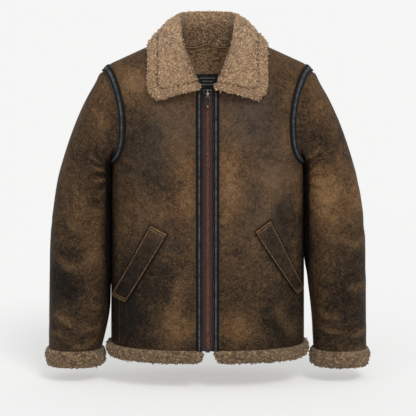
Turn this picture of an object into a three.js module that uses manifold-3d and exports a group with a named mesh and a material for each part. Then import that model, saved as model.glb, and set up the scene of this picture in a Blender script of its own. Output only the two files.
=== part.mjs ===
// A shearling coat, filled out and hollow, with a wide fur collar, a front zip and fur at the hem and cuffs.
// Millimetres. +X is to the viewer's right, the front faces -Y and +Z is up.
// The origin is in the middle of the neck opening, level with the neck ends of the shoulder seams.

import * as THREE from 'three';
import { mergeVertices } from 'three/addons/utils/BufferGeometryUtils.js';
import Module from 'manifold-3d';

const wasm = await Module();
wasm.setup();

// Driving sizes of the body
const clothThickness = 8;
const seamGap = 0.4;
const armholeGap = 0.7;
const neckGap = 2;
const chestHalfWidth = 211;
const hemFlare = 3;
const shoulderFlare = 31;
const frontDepth = { chest: 128, hem: 122 };
const backDepth = { chest: 120, hem: 112 };
const squareness = 2.5;
const underarmZ = -258;
const hemZ = -668;
const shoulderX = 229;
const shoulderEndZ = -59;
const shoulderSlope = 0.454;
const neckHalfWidth = 80;
const backNeckLevel = 0.826;
const frontNeckLevel = 0.5;

// Driving sizes of the trims
const stripWidth = 19;
const stripHeight = 3.2;
const bindingInnerX = 10.8;
const bindingOuterX = 24.1;
const panelEdgeX = 24.4;
const tapeInnerX = 4.9;
const chainHalfWidth = 4.6;
const zipTopZ = -101;
const bindingTopZ = -110;
const weltThickness = 3.4;
const hemFurHeight = 28;
const cuffFurHeight = 37;
const furProud = 10;

// Armhole edge: level up the armhole, half-width at that level
const armholeTable = [
  { level: 0, x: 211 },
  { level: 0.07, x: 199.5 },
  { level: 0.15, x: 193 },
  { level: 0.27, x: 190 },
  { level: 0.46, x: 191 },
  { level: 0.66, x: 199 },
  { level: 0.87, x: 214.5 },
  { level: 1, x: 229 },
];

// Front neckline: level, half-width of the neck opening there
const necklineTable = [
  { level: 0.5, x: 24.4 },
  { level: 0.62, x: 40 },
  { level: 0.78, x: 61 },
  { level: 0.92, x: 74.5 },
  { level: 1, x: 80 },
];

// Sleeve rings: outer end, inner end of the right and the left sleeve, and half-depth, from shoulder to wrist.
// The inner sides lie against the body down to where each sleeve swings clear of it.
const sleeveTable = [
  { outX: 229, outZ: -72, rightInX: 211, leftInX: 211, inZ: -258, depth: 61, cap: 1 },
  { outX: 243, outZ: -94, rightInX: 215.4, leftInX: 215.4, inZ: -266, depth: 63, cap: 0.66 },
  { outX: 263, outZ: -129, rightInX: 215.6, leftInX: 215.6, inZ: -279, depth: 65, cap: 0.4 },
  { outX: 280, outZ: -164, rightInX: 214.4, leftInX: 214.4, inZ: -296, depth: 65, cap: 0.2 },
  { outX: 299, outZ: -211, rightInX: 213.2, leftInX: 213.2, inZ: -318, depth: 63, cap: 0.07 },
  { outX: 316, outZ: -262, rightInX: 212.8, leftInX: 212.8, inZ: -342, depth: 61, cap: 0 },
  { outX: 330, outZ: -312, rightInX: 212.9, leftInX: 212.9, inZ: -372, depth: 59, cap: 0 },
  { outX: 339, outZ: -365, rightInX: 213.1, leftInX: 213.1, inZ: -408, depth: 58, cap: 0 },
  { outX: 346, outZ: -430, rightInX: 214, leftInX: 213.4, inZ: -455, depth: 57, cap: 0 },
  { outX: 349, outZ: -510, rightInX: 220, leftInX: 213.8, inZ: -522, depth: 56, cap: 0 },
  { outX: 351, outZ: -597, rightInX: 229.5, leftInX: 217, inZ: -602, depth: 56, cap: 0 },
  { outX: 353, outZ: -684, rightInX: 235, leftInX: 235, inZ: -684, depth: 57, cap: 0 },
];
const sleeveRoundness = 2.2;
const halfRing = 14;
const frontSleeveSeam = 12;
const backSleeveSeam = 9;

// Collar sections: place along the neck seam, roll line and fall edge, to just past the middle of the back
const collarTable = [
  { seam: 0, rollX: 10, rollY: -131, rollZ: -101, edgeX: 107.5, edgeY: -124, edgeZ: -127 },
  { seam: 0.3, rollX: 26, rollY: -110, rollZ: -68, edgeX: 127.5, edgeY: -112, edgeZ: -103 },
  { seam: 0.6, rollX: 39, rollY: -84, rollZ: -36, edgeX: 129, edgeY: -92, edgeZ: -58 },
  { seam: 0.85, rollX: 50, rollY: -52, rollZ: -4, edgeX: 128, edgeY: -53, edgeZ: -26 },
  { seam: 1, rollX: 57, rollY: -8, rollZ: 33, edgeX: 127.5, edgeY: 0, edgeZ: -5 },
  { seam: 1.25, rollX: 60, rollY: 34, rollZ: 51, edgeX: 120, edgeY: 57, edgeZ: -14 },
  { seam: 1.6, rollX: 42, rollY: 68, rollZ: 56, edgeX: 78, edgeY: 92, edgeZ: -30 },
  { seam: 2, rollX: 0, rollY: 83, rollZ: 57, edgeX: 0, edgeY: 110, edgeZ: -36 },
  { seam: 2.4, rollX: -42, rollY: 68, rollZ: 56, edgeX: -78, edgeY: 92, edgeZ: -30 },
];
const collarBulge = 11;
const collarThickness = 12;
const collarStations = 24;
const collarSamples = 10;
const collarSeamSample = 8;

// Pocket welts, the four corners on the front, in order round the piece
const weltTables = {
  left: [
    { x: -122, z: -393 },
    { x: -85, z: -412 },
    { x: -176, z: -568 },
    { x: -210, z: -559 },
  ],
  right: [
    { x: 135, z: -383 },
    { x: 100, z: -408 },
    { x: 193, z: -554 },
    { x: 209.5, z: -544 },
  ],
};

const looks = {
  leather: { color: 0x4b3a2b, roughness: 0.62, metalness: 0 },
  fur: { color: 0x957a5f, roughness: 0.95, metalness: 0 },
  black_leather: { color: 0x1b1716, roughness: 0.4, metalness: 0 },
  zip_tape: { color: 0x3d2626, roughness: 0.8, metalness: 0 },
  zip_metal: { color: 0x6b5443, roughness: 0.35, metalness: 0.9 },
  woven_label: { color: 0x17161a, roughness: 0.8, metalness: 0 },
};

const model = new THREE.Group();

// A smooth line through a table's rows, read at one value of its first column
function readTable(rows, key, value, column) {
  let index = 0;
  while (index < rows.length - 2 && rows[index + 1][key] < value) {
    index += 1;
  }
  const slopeAt = (i) => {
    const before = rows[Math.max(i - 1, 0)];
    const after = rows[Math.min(i + 1, rows.length - 1)];
    return (after[column] - before[column]) / (after[key] - before[key]);
  };
  const start = rows[index];
  const end = rows[index + 1];
  const span = end[key] - start[key];
  const t = THREE.MathUtils.clamp((value - start[key]) / span, 0, 1);
  const rise = t * t * (3 - 2 * t);
  return start[column] * (1 - rise) + end[column] * rise
    + span * t * (1 - t) * ((1 - t) * slopeAt(index) - t * slopeAt(index + 1));
}

// Height of the shoulder line over each place across the body
function ridge(x) {
  const overArm = Math.max(0, Math.abs(x) - 205) / 24;
  return shoulderEndZ + (220 - Math.abs(x)) * shoulderSlope - 9 * overArm * overArm;
}

function belowArm(z) {
  return Math.max(0, (underarmZ - z) / (underarmZ - hemZ));
}

function halfWidth(z) {
  const aboveArm = Math.max(0, (z - underarmZ) / (shoulderEndZ - underarmZ));
  return chestHalfWidth + shoulderFlare * aboveArm * aboveArm + hemFlare * belowArm(z);
}

function halfDepth(z, side) {
  const sizes = side < 0 ? frontDepth : backDepth;
  return sizes.chest + (sizes.hem - sizes.chest) * belowArm(z);
}

// Height for a level: -1 at the hem, 0 at the underarm, 1 on the shoulder line
function heightAt(x, level) {
  if (level <= 0) {
    return underarmZ + level * (underarmZ - hemZ);
  }
  return underarmZ + level * (ridge(x) - underarmZ);
}

function levelAt(x, z) {
  if (z <= underarmZ) {
    return (z - underarmZ) / (underarmZ - hemZ);
  }
  return (z - underarmZ) / (ridge(x) - underarmZ);
}

// A point on the body's outer face, on the front for side -1 and the back for side 1
function bodyPoint(x, level, side) {
  const z = heightAt(x, level);
  const across = Math.max(0, 1 - (Math.abs(x) / halfWidth(z)) ** squareness);
  const upward = Math.max(0, 1 - Math.max(0, level) ** squareness);
  const y = side * halfDepth(z, side) * (across * upward) ** (1 / squareness);
  return new THREE.Vector3(x, y, z);
}

// Zero on the body's outer face and positive outside it
function bodyField(p) {
  const level = Math.max(0, levelAt(p.x, p.z));
  const across = 1 - (Math.abs(p.x) / halfWidth(p.z)) ** squareness;
  const forward = (Math.abs(p.y) / halfDepth(p.z, p.y < 0 ? -1 : 1)) ** squareness;
  return forward - across * (1 - level ** squareness);
}

function bodyGradient(p) {
  const step = 0.05;
  const slope = (axis) => {
    const more = p.clone();
    const less = p.clone();
    more[axis] += step;
    less[axis] -= step;
    return (bodyField(more) - bodyField(less)) / (2 * step);
  };
  return new THREE.Vector3(slope('x'), slope('y'), slope('z'));
}

function bodyNormal(p) {
  return bodyGradient(p).normalize();
}

function ontoBody(p) {
  const point = p.clone();
  for (let turn = 0; turn < 8; turn += 1) {
    const gradient = bodyGradient(point);
    point.addScaledVector(gradient, -bodyField(point) / gradient.lengthSq());
  }
  return point;
}

// Moves a point outwards until it stands clear of the body's outer face
function clearOfBody(p, clearance) {
  const foot = ontoBody(p);
  const away = bodyField(p) < 0 ? -p.distanceTo(foot) : p.distanceTo(foot);
  if (away >= clearance) {
    return p;
  }
  return foot.addScaledVector(bodyNormal(foot), clearance);
}

const moved = (p, direction, distance) => p.clone().addScaledVector(direction, distance);
const mirrored = (p) => new THREE.Vector3(-p.x, p.y, p.z);
const mirroredGrid = (grid) => grid.map((row) => row.map(mirrored));

function addMesh(name, geometry, look) {
  const mesh = new THREE.Mesh(geometry, new THREE.MeshStandardMaterial(looks[look]));
  mesh.name = name;
  model.add(mesh);
}

// Two facing grids of points, closed round their borders into one wall
function addWall(name, look, outer, inner, looped = false) {
  const rows = outer.length;
  const columns = outer[0].length;
  const points = [...outer.flat(), ...inner.flat()];
  const far = rows * columns;
  const at = (i, j) => (i % rows) * columns + j;
  const faces = [];
  const quad = (a, b, c, d) => faces.push([a, b, c], [a, c, d]);
  const rowSteps = looped ? rows : rows - 1;
  const edge = columns - 1;
  for (let i = 0; i < rowSteps; i += 1) {
    for (let j = 0; j < edge; j += 1) {
      quad(at(i, j), at(i + 1, j), at(i + 1, j + 1), at(i, j + 1));
      quad(far + at(i, j), far + at(i, j + 1), far + at(i + 1, j + 1), far + at(i + 1, j));
    }
    quad(at(i, 0), far + at(i, 0), far + at(i + 1, 0), at(i + 1, 0));
    quad(at(i, edge), at(i + 1, edge), far + at(i + 1, edge), far + at(i, edge));
  }
  for (let j = 0; j < edge && !looped; j += 1) {
    const end = rows - 1;
    quad(at(0, j), at(0, j + 1), far + at(0, j + 1), far + at(0, j));
    quad(at(end, j + 1), at(end, j), far + at(end, j), far + at(end, j + 1));
  }
  const crossed = new THREE.Vector3();
  const volume = faces.reduce((sum, [a, b, c]) => {
    crossed.crossVectors(points[b], points[c]);
    return sum + points[a].dot(crossed);
  }, 0);
  const turned = volume < 0 ? faces.map(([a, b, c]) => [a, c, b]) : faces;
  const geometry = new THREE.BufferGeometry();
  const positions = points.flatMap((p) => [p.x, p.y, p.z]);
  geometry.setAttribute('position', new THREE.Float32BufferAttribute(positions, 3));
  geometry.setIndex(turned.flat());
  geometry.computeVertexNormals();
  addMesh(name, geometry, look);
}

function inwardGrid(grid, side) {
  return grid.map((row) => row.map((p) => {
    const inside = moved(p, bodyNormal(p), -clothThickness);
    inside.y = side * Math.max(side * inside.y, seamGap / 2);
    inside.x = side < 0 ? Math.max(inside.x, panelEdgeX) : inside.x;
    return inside;
  }));
}

function keptToSide(grid, side) {
  grid.flat().forEach((p) => {
    p.y = side * Math.max(side * p.y, seamGap / 2);
  });
  return grid;
}

const signedPower = (value, power) => Math.sign(value) * Math.abs(value) ** power;
const ringCosine = (j) => signedPower(Math.cos(Math.PI * j / halfRing), 2 / sleeveRoundness);
const ringSine = (j) => signedPower(Math.sin(Math.PI * j / halfRing), 2 / sleeveRoundness);
const armholeLevel = (j) => (1 + ringCosine(j)) / 2;

// Levels of the panels' rows: even below the underarm, and those of the sleeve ring above it
const lowerRows = 9;
const panelLevels = [];
for (let i = 0; i < lowerRows; i += 1) {
  panelLevels.push(-1 + i / lowerRows);
}
for (let j = halfRing; j >= 0; j -= 1) {
  panelLevels.push(armholeLevel(j));
}

function outerEdgeX(level) {
  if (level <= 0) {
    return halfWidth(heightAt(chestHalfWidth, level));
  }
  return readTable(armholeTable, 'level', level, 'x');
}

function frontEdgeX(level) {
  if (level <= frontNeckLevel) {
    return panelEdgeX;
  }
  return readTable(necklineTable, 'level', level, 'x');
}

const spread = (f) => Math.sin(f * Math.PI / 2) ** (2 / squareness);
const unspread = (g) => Math.asin(g ** (squareness / 2)) / (Math.PI / 2);
const neckFraction = unspread(neckHalfWidth / shoulderX);

function addFronts() {
  const columns = 11;
  const grid = panelLevels.map((level) => {
    const outerX = outerEdgeX(level);
    const start = unspread(frontEdgeX(level) / outerX);
    const row = [];
    for (let i = 0; i <= columns; i += 1) {
      const x = outerX * spread(start + (1 - start) * i / columns);
      row.push(bodyPoint(x, level, -1));
    }
    return row;
  });
  const inside = inwardGrid(grid, -1);
  const outside = keptToSide(grid, -1);
  addWall('front_right', 'leather', outside, inside);
  addWall('front_left', 'leather', mirroredGrid(outside), mirroredGrid(inside));
}

// How far up its column the back panel reaches: lower at the back of the neck
function backTop(fraction) {
  const across = Math.min(1, Math.abs(fraction) / neckFraction);
  return backNeckLevel + (1 - backNeckLevel) * across ** 2.2;
}

function addBack() {
  const neckColumns = 6;
  const shoulderColumns = 8;
  const fractions = [];
  for (let i = 0; i < neckColumns; i += 1) {
    fractions.push(neckFraction * i / neckColumns);
  }
  for (let i = 0; i <= shoulderColumns; i += 1) {
    fractions.push(neckFraction + (1 - neckFraction) * i / shoulderColumns);
  }
  const allFractions = [...fractions.slice(1).reverse().map((f) => -f), ...fractions];
  const grid = panelLevels.map((level) => allFractions.map((f) => {
    const x = Math.sign(f) * outerEdgeX(level) * spread(Math.abs(f));
    return bodyPoint(x, level > 0 ? level * backTop(f) : level, 1);
  }));
  const inside = inwardGrid(grid, 1);
  addWall('back', 'leather', keptToSide(grid, 1), inside);
}

// The armhole edge on the viewer's right, from the shoulder down the front and up the back
function armholeEdge(j) {
  const side = j <= halfRing ? -1 : 1;
  const level = armholeLevel(j);
  return bodyPoint(outerEdgeX(level), level, side);
}

// The edge's own directions: along it, out of the cloth, and over the panel
function armholeFrame(j) {
  const point = armholeEdge((j + 2 * halfRing) % (2 * halfRing));
  const step = 0.12;
  const ahead = armholeEdge((j + step + 2 * halfRing) % (2 * halfRing));
  const behind = armholeEdge((j - step + 2 * halfRing) % (2 * halfRing));
  const out = bodyNormal(point);
  const along = ahead.sub(behind).normalize();
  const overPanel = new THREE.Vector3().crossVectors(along, out).normalize();
  return { point, out, overPanel };
}

function sleeveRing(row, inColumn) {
  const inX = row[inColumn];
  const centre = new THREE.Vector3((row.outX + inX) / 2, 0, (row.outZ + row.inZ) / 2);
  const half = new THREE.Vector3((row.outX - inX) / 2, 0, (row.outZ - row.inZ) / 2);
  return (j) => {
    const point = moved(centre, half, ringCosine(j));
    point.y -= row.depth * ringSine(j);
    return point;
  };
}

// Rings of a sleeve on the viewer's right, outer and inner faces, with the first one at the armhole
function sleeveGrids(inColumn) {
  const count = 2 * halfRing;
  const steps = Array.from({ length: count }, (_, j) => j);
  const frames = steps.map(armholeFrame);
  const armhole = frames.map((f) => moved(f.point, f.overPanel, -armholeGap));
  const plainFirst = sleeveRing(sleeveTable[0], inColumn);
  const rise = frames.map((f, j) => {
    const shoulder = (1 + ringCosine(j)) / 2;
    const point = moved(armhole[j], f.overPanel, -3 - 5 * shoulder);
    return moved(point, f.out, 2.4 - 1.2 * shoulder);
  });
  const outer = [armhole, rise];
  sleeveTable.slice(1).forEach((row) => {
    const ring = sleeveRing(row, inColumn);
    outer.push(steps.map((j) => {
      const shift = armhole[j].clone().sub(plainFirst(j));
      return moved(ring(j), shift, row.cap);
    }));
  });
  const inner = outer.map((ring, i) => ring.map((point, j) => {
    const along = outer[Math.min(i + 1, outer.length - 1)][j].clone();
    along.sub(outer[Math.max(i - 1, 0)][j]);
    const round = ring[(j + 1) % count].clone().sub(ring[(j + count - 1) % count]);
    const out = new THREE.Vector3().crossVectors(round, along).normalize();
    if (i === 0) {
      out.copy(frames[j].out);
    }
    if (i === 1) {
      out.addScaledVector(frames[j].out, 0.6).normalize();
    }
    return moved(point, out, -clothThickness);
  }));
  return { outer, inner };
}

// One sleeve piece: the ring's points from one seam round to the other, drawn in by half a gap
function sleevePiece(rings, start, end) {
  const count = 2 * halfRing;
  return rings.map((ring) => {
    const row = [];
    for (let j = start; j <= end; j += 1) {
      row.push(ring[(j + count) % count].clone());
    }
    const last = row.length - 1;
    const first = moved(row[0], row[1].clone().sub(row[0]).normalize(), seamGap / 2);
    const final = moved(row[last], row[last - 1].clone().sub(row[last]).normalize(), seamGap / 2);
    return [first, ...row.slice(1, -1), final];
  });
}

function addSleeves() {
  const right = sleeveGrids('rightInX');
  const left = sleeveGrids('leftInX');
  const pieces = {
    sleeve_top: [-backSleeveSeam, frontSleeveSeam],
    sleeve_under: [frontSleeveSeam, 2 * halfRing - backSleeveSeam],
  };
  Object.entries(pieces).forEach(([name, [start, end]]) => {
    const rightWalls = [right.outer, right.inner].map((rings) => sleevePiece(rings, start, end));
    const leftWalls = [left.outer, left.inner].map((rings) => mirroredGrid(sleevePiece(rings, start, end)));
    addWall(`${name}_right`, 'leather', ...rightWalls);
    addWall(`${name}_left`, 'leather', ...leftWalls);
  });
  return right;
}

// Black strip laid on the panels round each armhole, with two ridges and a groove, flatter under the arm
function addArmholeStrips() {
  const profile = [
    { across: 0.05, height: 0.35 },
    { across: 0.14, height: 0.85 },
    { across: 0.3, height: 0.3 },
    { across: 0.45, height: 0.9 },
    { across: 0.7, height: 1 },
    { across: 1, height: 0.25 },
  ];
  const lift = 1;
  const outer = [];
  const inner = [];
  for (let k = 0; k < 2 * halfRing; k += 1) {
    const frame = armholeFrame(k);
    const flat = 0.3 + 0.7 * Math.min(1, armholeLevel(k) / 0.2);
    let point = frame.point;
    let reached = 0;
    const top = [];
    const under = [];
    profile.forEach((step) => {
      const target = step.across * (stripWidth + 1);
      point = ontoBody(moved(point, frame.overPanel, target - reached));
      reached = target;
      const out = bodyNormal(point);
      top.push(moved(point, out, lift + 0.8 + stripHeight * step.height * flat));
      under.push(moved(point, out, lift));
    });
    outer.push(top);
    inner.push(under);
  }
  addWall('armhole_strip_right', 'black_leather', outer, inner, true);
  addWall('armhole_strip_left', 'black_leather', mirroredGrid(outer), mirroredGrid(inner), true);
}

// A point on the neck seam: 0 at the zip, 1 at the shoulder seam, 2 at the middle of the back
function neckSeam(seam) {
  if (seam <= 1) {
    const level = frontNeckLevel + (1 - frontNeckLevel) * seam;
    return bodyPoint(readTable(necklineTable, 'level', level, 'x'), level, -1);
  }
  const fraction = neckFraction * Math.max(0, 2 - seam);
  return bodyPoint(shoulderX * spread(fraction), backTop(fraction), 1);
}

function curveThrough(points, count) {
  return new THREE.CatmullRomCurve3(points, false, 'centripetal').getPoints(count);
}

// One section of the collar: its fur face from the neck over the roll to the edge, and its underside
function collarSection(seam) {
  const read = (column) => readTable(collarTable, 'seam', seam, column);
  const roll = new THREE.Vector3(read('rollX'), read('rollY'), read('rollZ'));
  const edge = new THREE.Vector3(read('edgeX'), read('edgeY'), read('edgeZ'));
  const step = 0.02;
  const firstSeam = 0.07;
  const foot = neckSeam(Math.max(seam, firstSeam));
  const ahead = neckSeam(Math.min(2, Math.max(seam, firstSeam) + step));
  const along = ahead.sub(neckSeam(Math.max(firstSeam, seam) - step)).normalize();
  const out = bodyNormal(foot);
  const intoNeck = new THREE.Vector3().crossVectors(out, along).normalize();
  const outerFoot = moved(foot, intoNeck, neckGap);
  const innerFoot = moved(outerFoot, out, -clothThickness);
  const fall = edge.clone().sub(roll);
  const bulge = bodyNormal(roll.clone().add(edge).multiplyScalar(0.5));
  bulge.addScaledVector(fall, -bulge.dot(fall) / fall.lengthSq()).normalize();
  const crest = moved(moved(roll, fall, 0.25), bulge, collarBulge);
  const middle = moved(moved(roll, fall, 0.62), bulge, collarBulge - 2);
  const throat = innerFoot.clone().lerp(roll, 0.6);
  throat.add(crest.clone().lerp(middle, 0.4)).multiplyScalar(0.5);
  const underMiddle = moved(middle, bulge, -collarThickness);
  const underEdge = moved(edge, bulge, -collarThickness * 0.7);
  const top = curveThrough([innerFoot, roll, crest, middle, edge], collarSamples);
  const under = curveThrough([outerFoot, throat, underMiddle, underEdge], collarSamples);
  const clearance = foot.x < 34 ? 5 : 2;
  const raised = (points, first, more) => points.map((p, i) => (
    i < first ? p : clearOfBody(p, clearance + more)
  ));
  return { top: raised(top, 5, collarThickness * 0.7), under: raised(under, 2, 0) };
}

// The collar is cut as a body and an edge band, parted by a seam
function addCollar() {
  const half = [];
  for (let i = 0; i <= collarStations; i += 1) {
    half.push(collarSection(2 * i / collarStations));
  }
  const flipped = half.slice(0, -1).reverse().map((section) => ({
    top: section.top.map(mirrored),
    under: section.under.map(mirrored),
  }));
  const sections = [...half, ...flipped];
  const split = collarSeamSample;
  const drawnBack = (points, to) => {
    const direction = points[to].clone().sub(points[split]).normalize();
    return moved(points[split], direction, seamGap);
  };
  const bodyPart = (points) => [...points.slice(0, split), drawnBack(points, split - 1)];
  const bandPart = (points) => [drawnBack(points, split + 1), ...points.slice(split + 1)];
  const tops = sections.map((section) => section.top);
  const unders = sections.map((section) => section.under);
  addWall('collar', 'fur', tops.map(bodyPart), unders.map(bodyPart));
  addWall('collar_edge', 'fur', tops.map(bandPart), unders.map(bandPart));
}

// Section of a fur roll below a leather edge: distance out of the leather and depth below the edge
function furSection(height) {
  return {
    outer: [
      { out: 0, down: 0 },
      { out: 0.55, down: 0.03 },
      { out: 0.92, down: 0.14 },
      { out: 1.05, down: 0.4 },
      { out: 0.95, down: 0.7 },
      { out: 0.5, down: 0.93 },
      { out: -0.1, down: 1 },
    ].map(({ out, down }) => ({ out: out * furProud, down: down * height })),
    inner: [
      { out: -0.2, down: 0 },
      { out: -0.5, down: 0.03 },
      { out: -0.8, down: 0.1 },
      { out: -0.95, down: 0.35 },
      { out: -0.9, down: 0.65 },
      { out: -0.65, down: 0.88 },
      { out: -0.4, down: 0.97 },
    ].map(({ out, down }) => ({ out: out * furProud, down: down * height })),
  };
}

// A fur roll below the hem between two places across the body, its front end leaning by a given run
function hemRoll(side, places, endLean) {
  const section = furSection(hemFurHeight);
  const sweep = (path) => places.map(({ x, lean }) => path.map(({ out, down }) => {
    const startX = x + lean * endLean * down / hemFurHeight;
    const base = bodyPoint(startX, -1, side);
    const point = moved(base, bodyNormal(base), out);
    point.y = side * Math.max(side * point.y, seamGap / 2);
    point.z = hemZ - seamGap - down;
    return point;
  }));
  return { outer: sweep(section.outer), inner: sweep(section.inner) };
}

function addHem() {
  const steps = 14;
  const hemHalfWidth = halfWidth(hemZ);
  const frontEnds = { left: { start: 10.5, lean: 10 }, right: { start: 12.5, lean: 17 } };
  Object.entries(frontEnds).forEach(([name, { start, lean }]) => {
    const first = unspread(start / hemHalfWidth);
    const places = [];
    for (let i = 0; i <= steps; i += 1) {
      const t = i / steps;
      places.push({ x: hemHalfWidth * spread(first + (1 - first) * t), lean: (1 - t) ** 6 });
    }
    const { outer, inner } = hemRoll(-1, places, lean);
    const place = name === 'left' ? mirroredGrid : (grid) => grid;
    addWall(`hem_fur_front_${name}`, 'fur', place(outer), place(inner));
  });
  const places = [];
  for (let i = -steps; i <= steps; i += 1) {
    places.push({ x: Math.sign(i) * hemHalfWidth * spread(Math.abs(i) / steps), lean: 0 });
  }
  const { outer, inner } = hemRoll(1, places, 0);
  addWall('hem_fur_back', 'fur', outer, inner);
}

function addCuffs(sleeve) {
  const section = furSection(cuffFurHeight);
  const wrist = sleeve.outer[sleeve.outer.length - 1];
  const count = wrist.length;
  const sweep = (path) => wrist.map((point, j) => {
    const round = wrist[(j + 1) % count].clone().sub(wrist[(j + count - 1) % count]);
    const out = new THREE.Vector3(round.y, -round.x, 0).normalize();
    const middleX = (sleeveTable.at(-1).outX + sleeveTable.at(-1).rightInX) / 2;
    const outward = Math.sign(out.dot(new THREE.Vector3(point.x - middleX, point.y, 0)));
    return path.map((step) => {
      const furPoint = moved(point, out, outward * step.out * 0.8);
      furPoint.z -= seamGap + step.down;
      return furPoint;
    });
  });
  const outer = sweep(section.outer);
  const inner = sweep(section.inner);
  addWall('cuff_fur_right', 'fur', outer, inner, true);
  addWall('cuff_fur_left', 'fur', mirroredGrid(outer), mirroredGrid(inner), true);
}

// A bar down the front: places across with heights over the cloth, and its depth under them
function addFrontBar(name, look, across, depth, topZ, bottomZ, flip) {
  const steps = 14;
  const outer = [];
  const inner = [];
  for (let i = 0; i <= steps; i += 1) {
    const z = bottomZ + (topZ - bottomZ) * i / steps;
    const faceAt = (x, height) => {
      const point = bodyPoint(x, levelAt(x, z), -1);
      point.y -= height;
      return point;
    };
    outer.push(across.map(({ x, height }) => faceAt(x, height)));
    inner.push(across.map(({ x }) => faceAt(x, -depth)));
  }
  const place = flip ? mirroredGrid : (grid) => grid;
  addWall(name, look, place(outer), place(inner));
}

function addZip() {
  const width = bindingOuterX - bindingInnerX;
  const binding = [
    { across: 0, height: 0.4 },
    { across: 0.12, height: 2.6 },
    { across: 0.32, height: 3.2 },
    { across: 0.52, height: 1.5 },
    { across: 0.72, height: 2.9 },
    { across: 0.9, height: 2 },
    { across: 1, height: 0.2 },
  ].map(({ across, height }) => ({ x: bindingInnerX + across * width, height }));
  const tape = [
    { x: tapeInnerX, height: -1.2 },
    { x: bindingInnerX - 0.3, height: -1.2 },
  ];
  const chain = [
    { x: -chainHalfWidth, height: -0.8 },
    { x: -chainHalfWidth * 0.5, height: 0.8 },
    { x: chainHalfWidth * 0.5, height: 0.8 },
    { x: chainHalfWidth, height: -0.8 },
  ];
  ['right', 'left'].forEach((name) => {
    const flip = name === 'left';
    addFrontBar(`zip_binding_${name}`, 'black_leather', binding, clothThickness, bindingTopZ, hemZ, flip);
    addFrontBar(`zip_tape_${name}`, 'zip_tape', tape, 2.6, bindingTopZ, hemZ, flip);
  });
  addFrontBar('zip_chain', 'zip_metal', chain, 3, zipTopZ - 8, hemZ + 11, false);
}

// Solids joined into one
function joined(geometries) {
  const solids = geometries.map((geometry) => {
    geometry.deleteAttribute('normal');
    geometry.deleteAttribute('uv');
    const merged = mergeVertices(geometry, 1e-4);
    const vertProperties = new Float32Array(merged.attributes.position.array);
    const triVerts = new Uint32Array(merged.index.array);
    return new wasm.Manifold(new wasm.Mesh({ numProp: 3, vertProperties, triVerts }));
  });
  const whole = solids.slice(1).reduce((sum, solid) => sum.add(solid), solids[0]).getMesh();
  const geometry = new THREE.BufferGeometry();
  geometry.setAttribute('position', new THREE.BufferAttribute(whole.vertProperties, 3));
  geometry.setIndex(new THREE.BufferAttribute(whole.triVerts, 1));
  geometry.computeVertexNormals();
  return geometry;
}

// An outline in the XZ plane, made solid forwards from a given depth
function frontPlate(outline, backY, thickness) {
  const shape = new THREE.Shape(outline.map(({ x, z }) => new THREE.Vector2(x, z)));
  const geometry = new THREE.ExtrudeGeometry(shape, { depth: thickness, bevelEnabled: false });
  geometry.rotateX(Math.PI / 2);
  geometry.translate(0, backY, 0);
  return geometry;
}

function block(width, depth, height, x, y, z) {
  return new THREE.BoxGeometry(width, depth, height).translate(x, y, z);
}

const sliderTopZ = zipTopZ - 1;
const sliderBackY = -121.6;
const sliderThickness = 4.6;
const hingeZ = sliderTopZ - 9;
const hingeY = sliderBackY - sliderThickness - 2.6;

function addSlider() {
  const outline = [
    { x: -10, z: sliderTopZ },
    { x: -10, z: sliderTopZ - 9 },
    { x: -6.5, z: sliderTopZ - 20 },
    { x: 6.5, z: sliderTopZ - 20 },
    { x: 10, z: sliderTopZ - 9 },
    { x: 10, z: sliderTopZ },
  ];
  const ears = [-1, 1].map((side) => {
    const backY = sliderBackY - sliderThickness + 0.5;
    const frontY = hingeY - 2.2;
    return block(1.8, backY - frontY, 5, side * 4.3, (backY + frontY) / 2, hingeZ);
  });
  addMesh('zip_slider', joined([frontPlate(outline, sliderBackY, sliderThickness), ...ears]), 'zip_metal');
}

function addPullTab() {
  const knuckle = new THREE.CylinderGeometry(2, 2, 6, 16).rotateZ(Math.PI / 2).translate(0, hingeY, hingeZ);
  const tabWidth = 12;
  const tabStart = hingeZ - 4.4;
  const tabEnd = hingeZ - 26;
  const cornerCut = 3;
  const outline = [
    { x: -tabWidth / 2 + 1.5, z: tabStart },
    { x: -tabWidth / 2, z: tabStart - 1.5 },
    { x: -tabWidth / 2, z: tabEnd + cornerCut },
    { x: -tabWidth / 2 + cornerCut, z: tabEnd },
    { x: tabWidth / 2 - cornerCut, z: tabEnd },
    { x: tabWidth / 2, z: tabEnd + cornerCut },
    { x: tabWidth / 2, z: tabStart - 1.5 },
    { x: tabWidth / 2 - 1.5, z: tabStart },
  ];
  const neck = block(4.6, 2, 6, 0, hingeY, hingeZ - 3);
  addMesh('pull_tab', joined([knuckle, neck, frontPlate(outline, hingeY + 1.2, 2.4)]), 'zip_metal');
}

function addZipBox() {
  const boxY = bodyPoint(0, -1, -1).y;
  addMesh('zip_box', block(9.4, 5, 10, 0, boxY + 0.4, hemZ + 5.4), 'zip_metal');
}

// A patch laid on a face: bilinear between four corners, on a grid of its own
function patchGrids(corners, side, rows, columns, lift, thickness) {
  const top = [];
  const under = [];
  for (let i = 0; i <= rows; i += 1) {
    const down = i / rows;
    const topRow = [];
    const underRow = [];
    for (let j = 0; j <= columns; j += 1) {
      const across = j / columns;
      const mix = (key) => (corners[0][key] * (1 - across) + corners[1][key] * across) * (1 - down)
        + (corners[3][key] * (1 - across) + corners[2][key] * across) * down;
      const x = mix('x');
      const base = bodyPoint(x, levelAt(x, mix('z')), side);
      const out = bodyNormal(base);
      const border = Math.min(i, rows - i, j, columns - j) === 0 ? 0.55 : 1;
      topRow.push(moved(base, out, lift + thickness * border));
      underRow.push(moved(base, out, lift));
    }
    top.push(topRow);
    under.push(underRow);
  }
  return { top, under };
}

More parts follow.
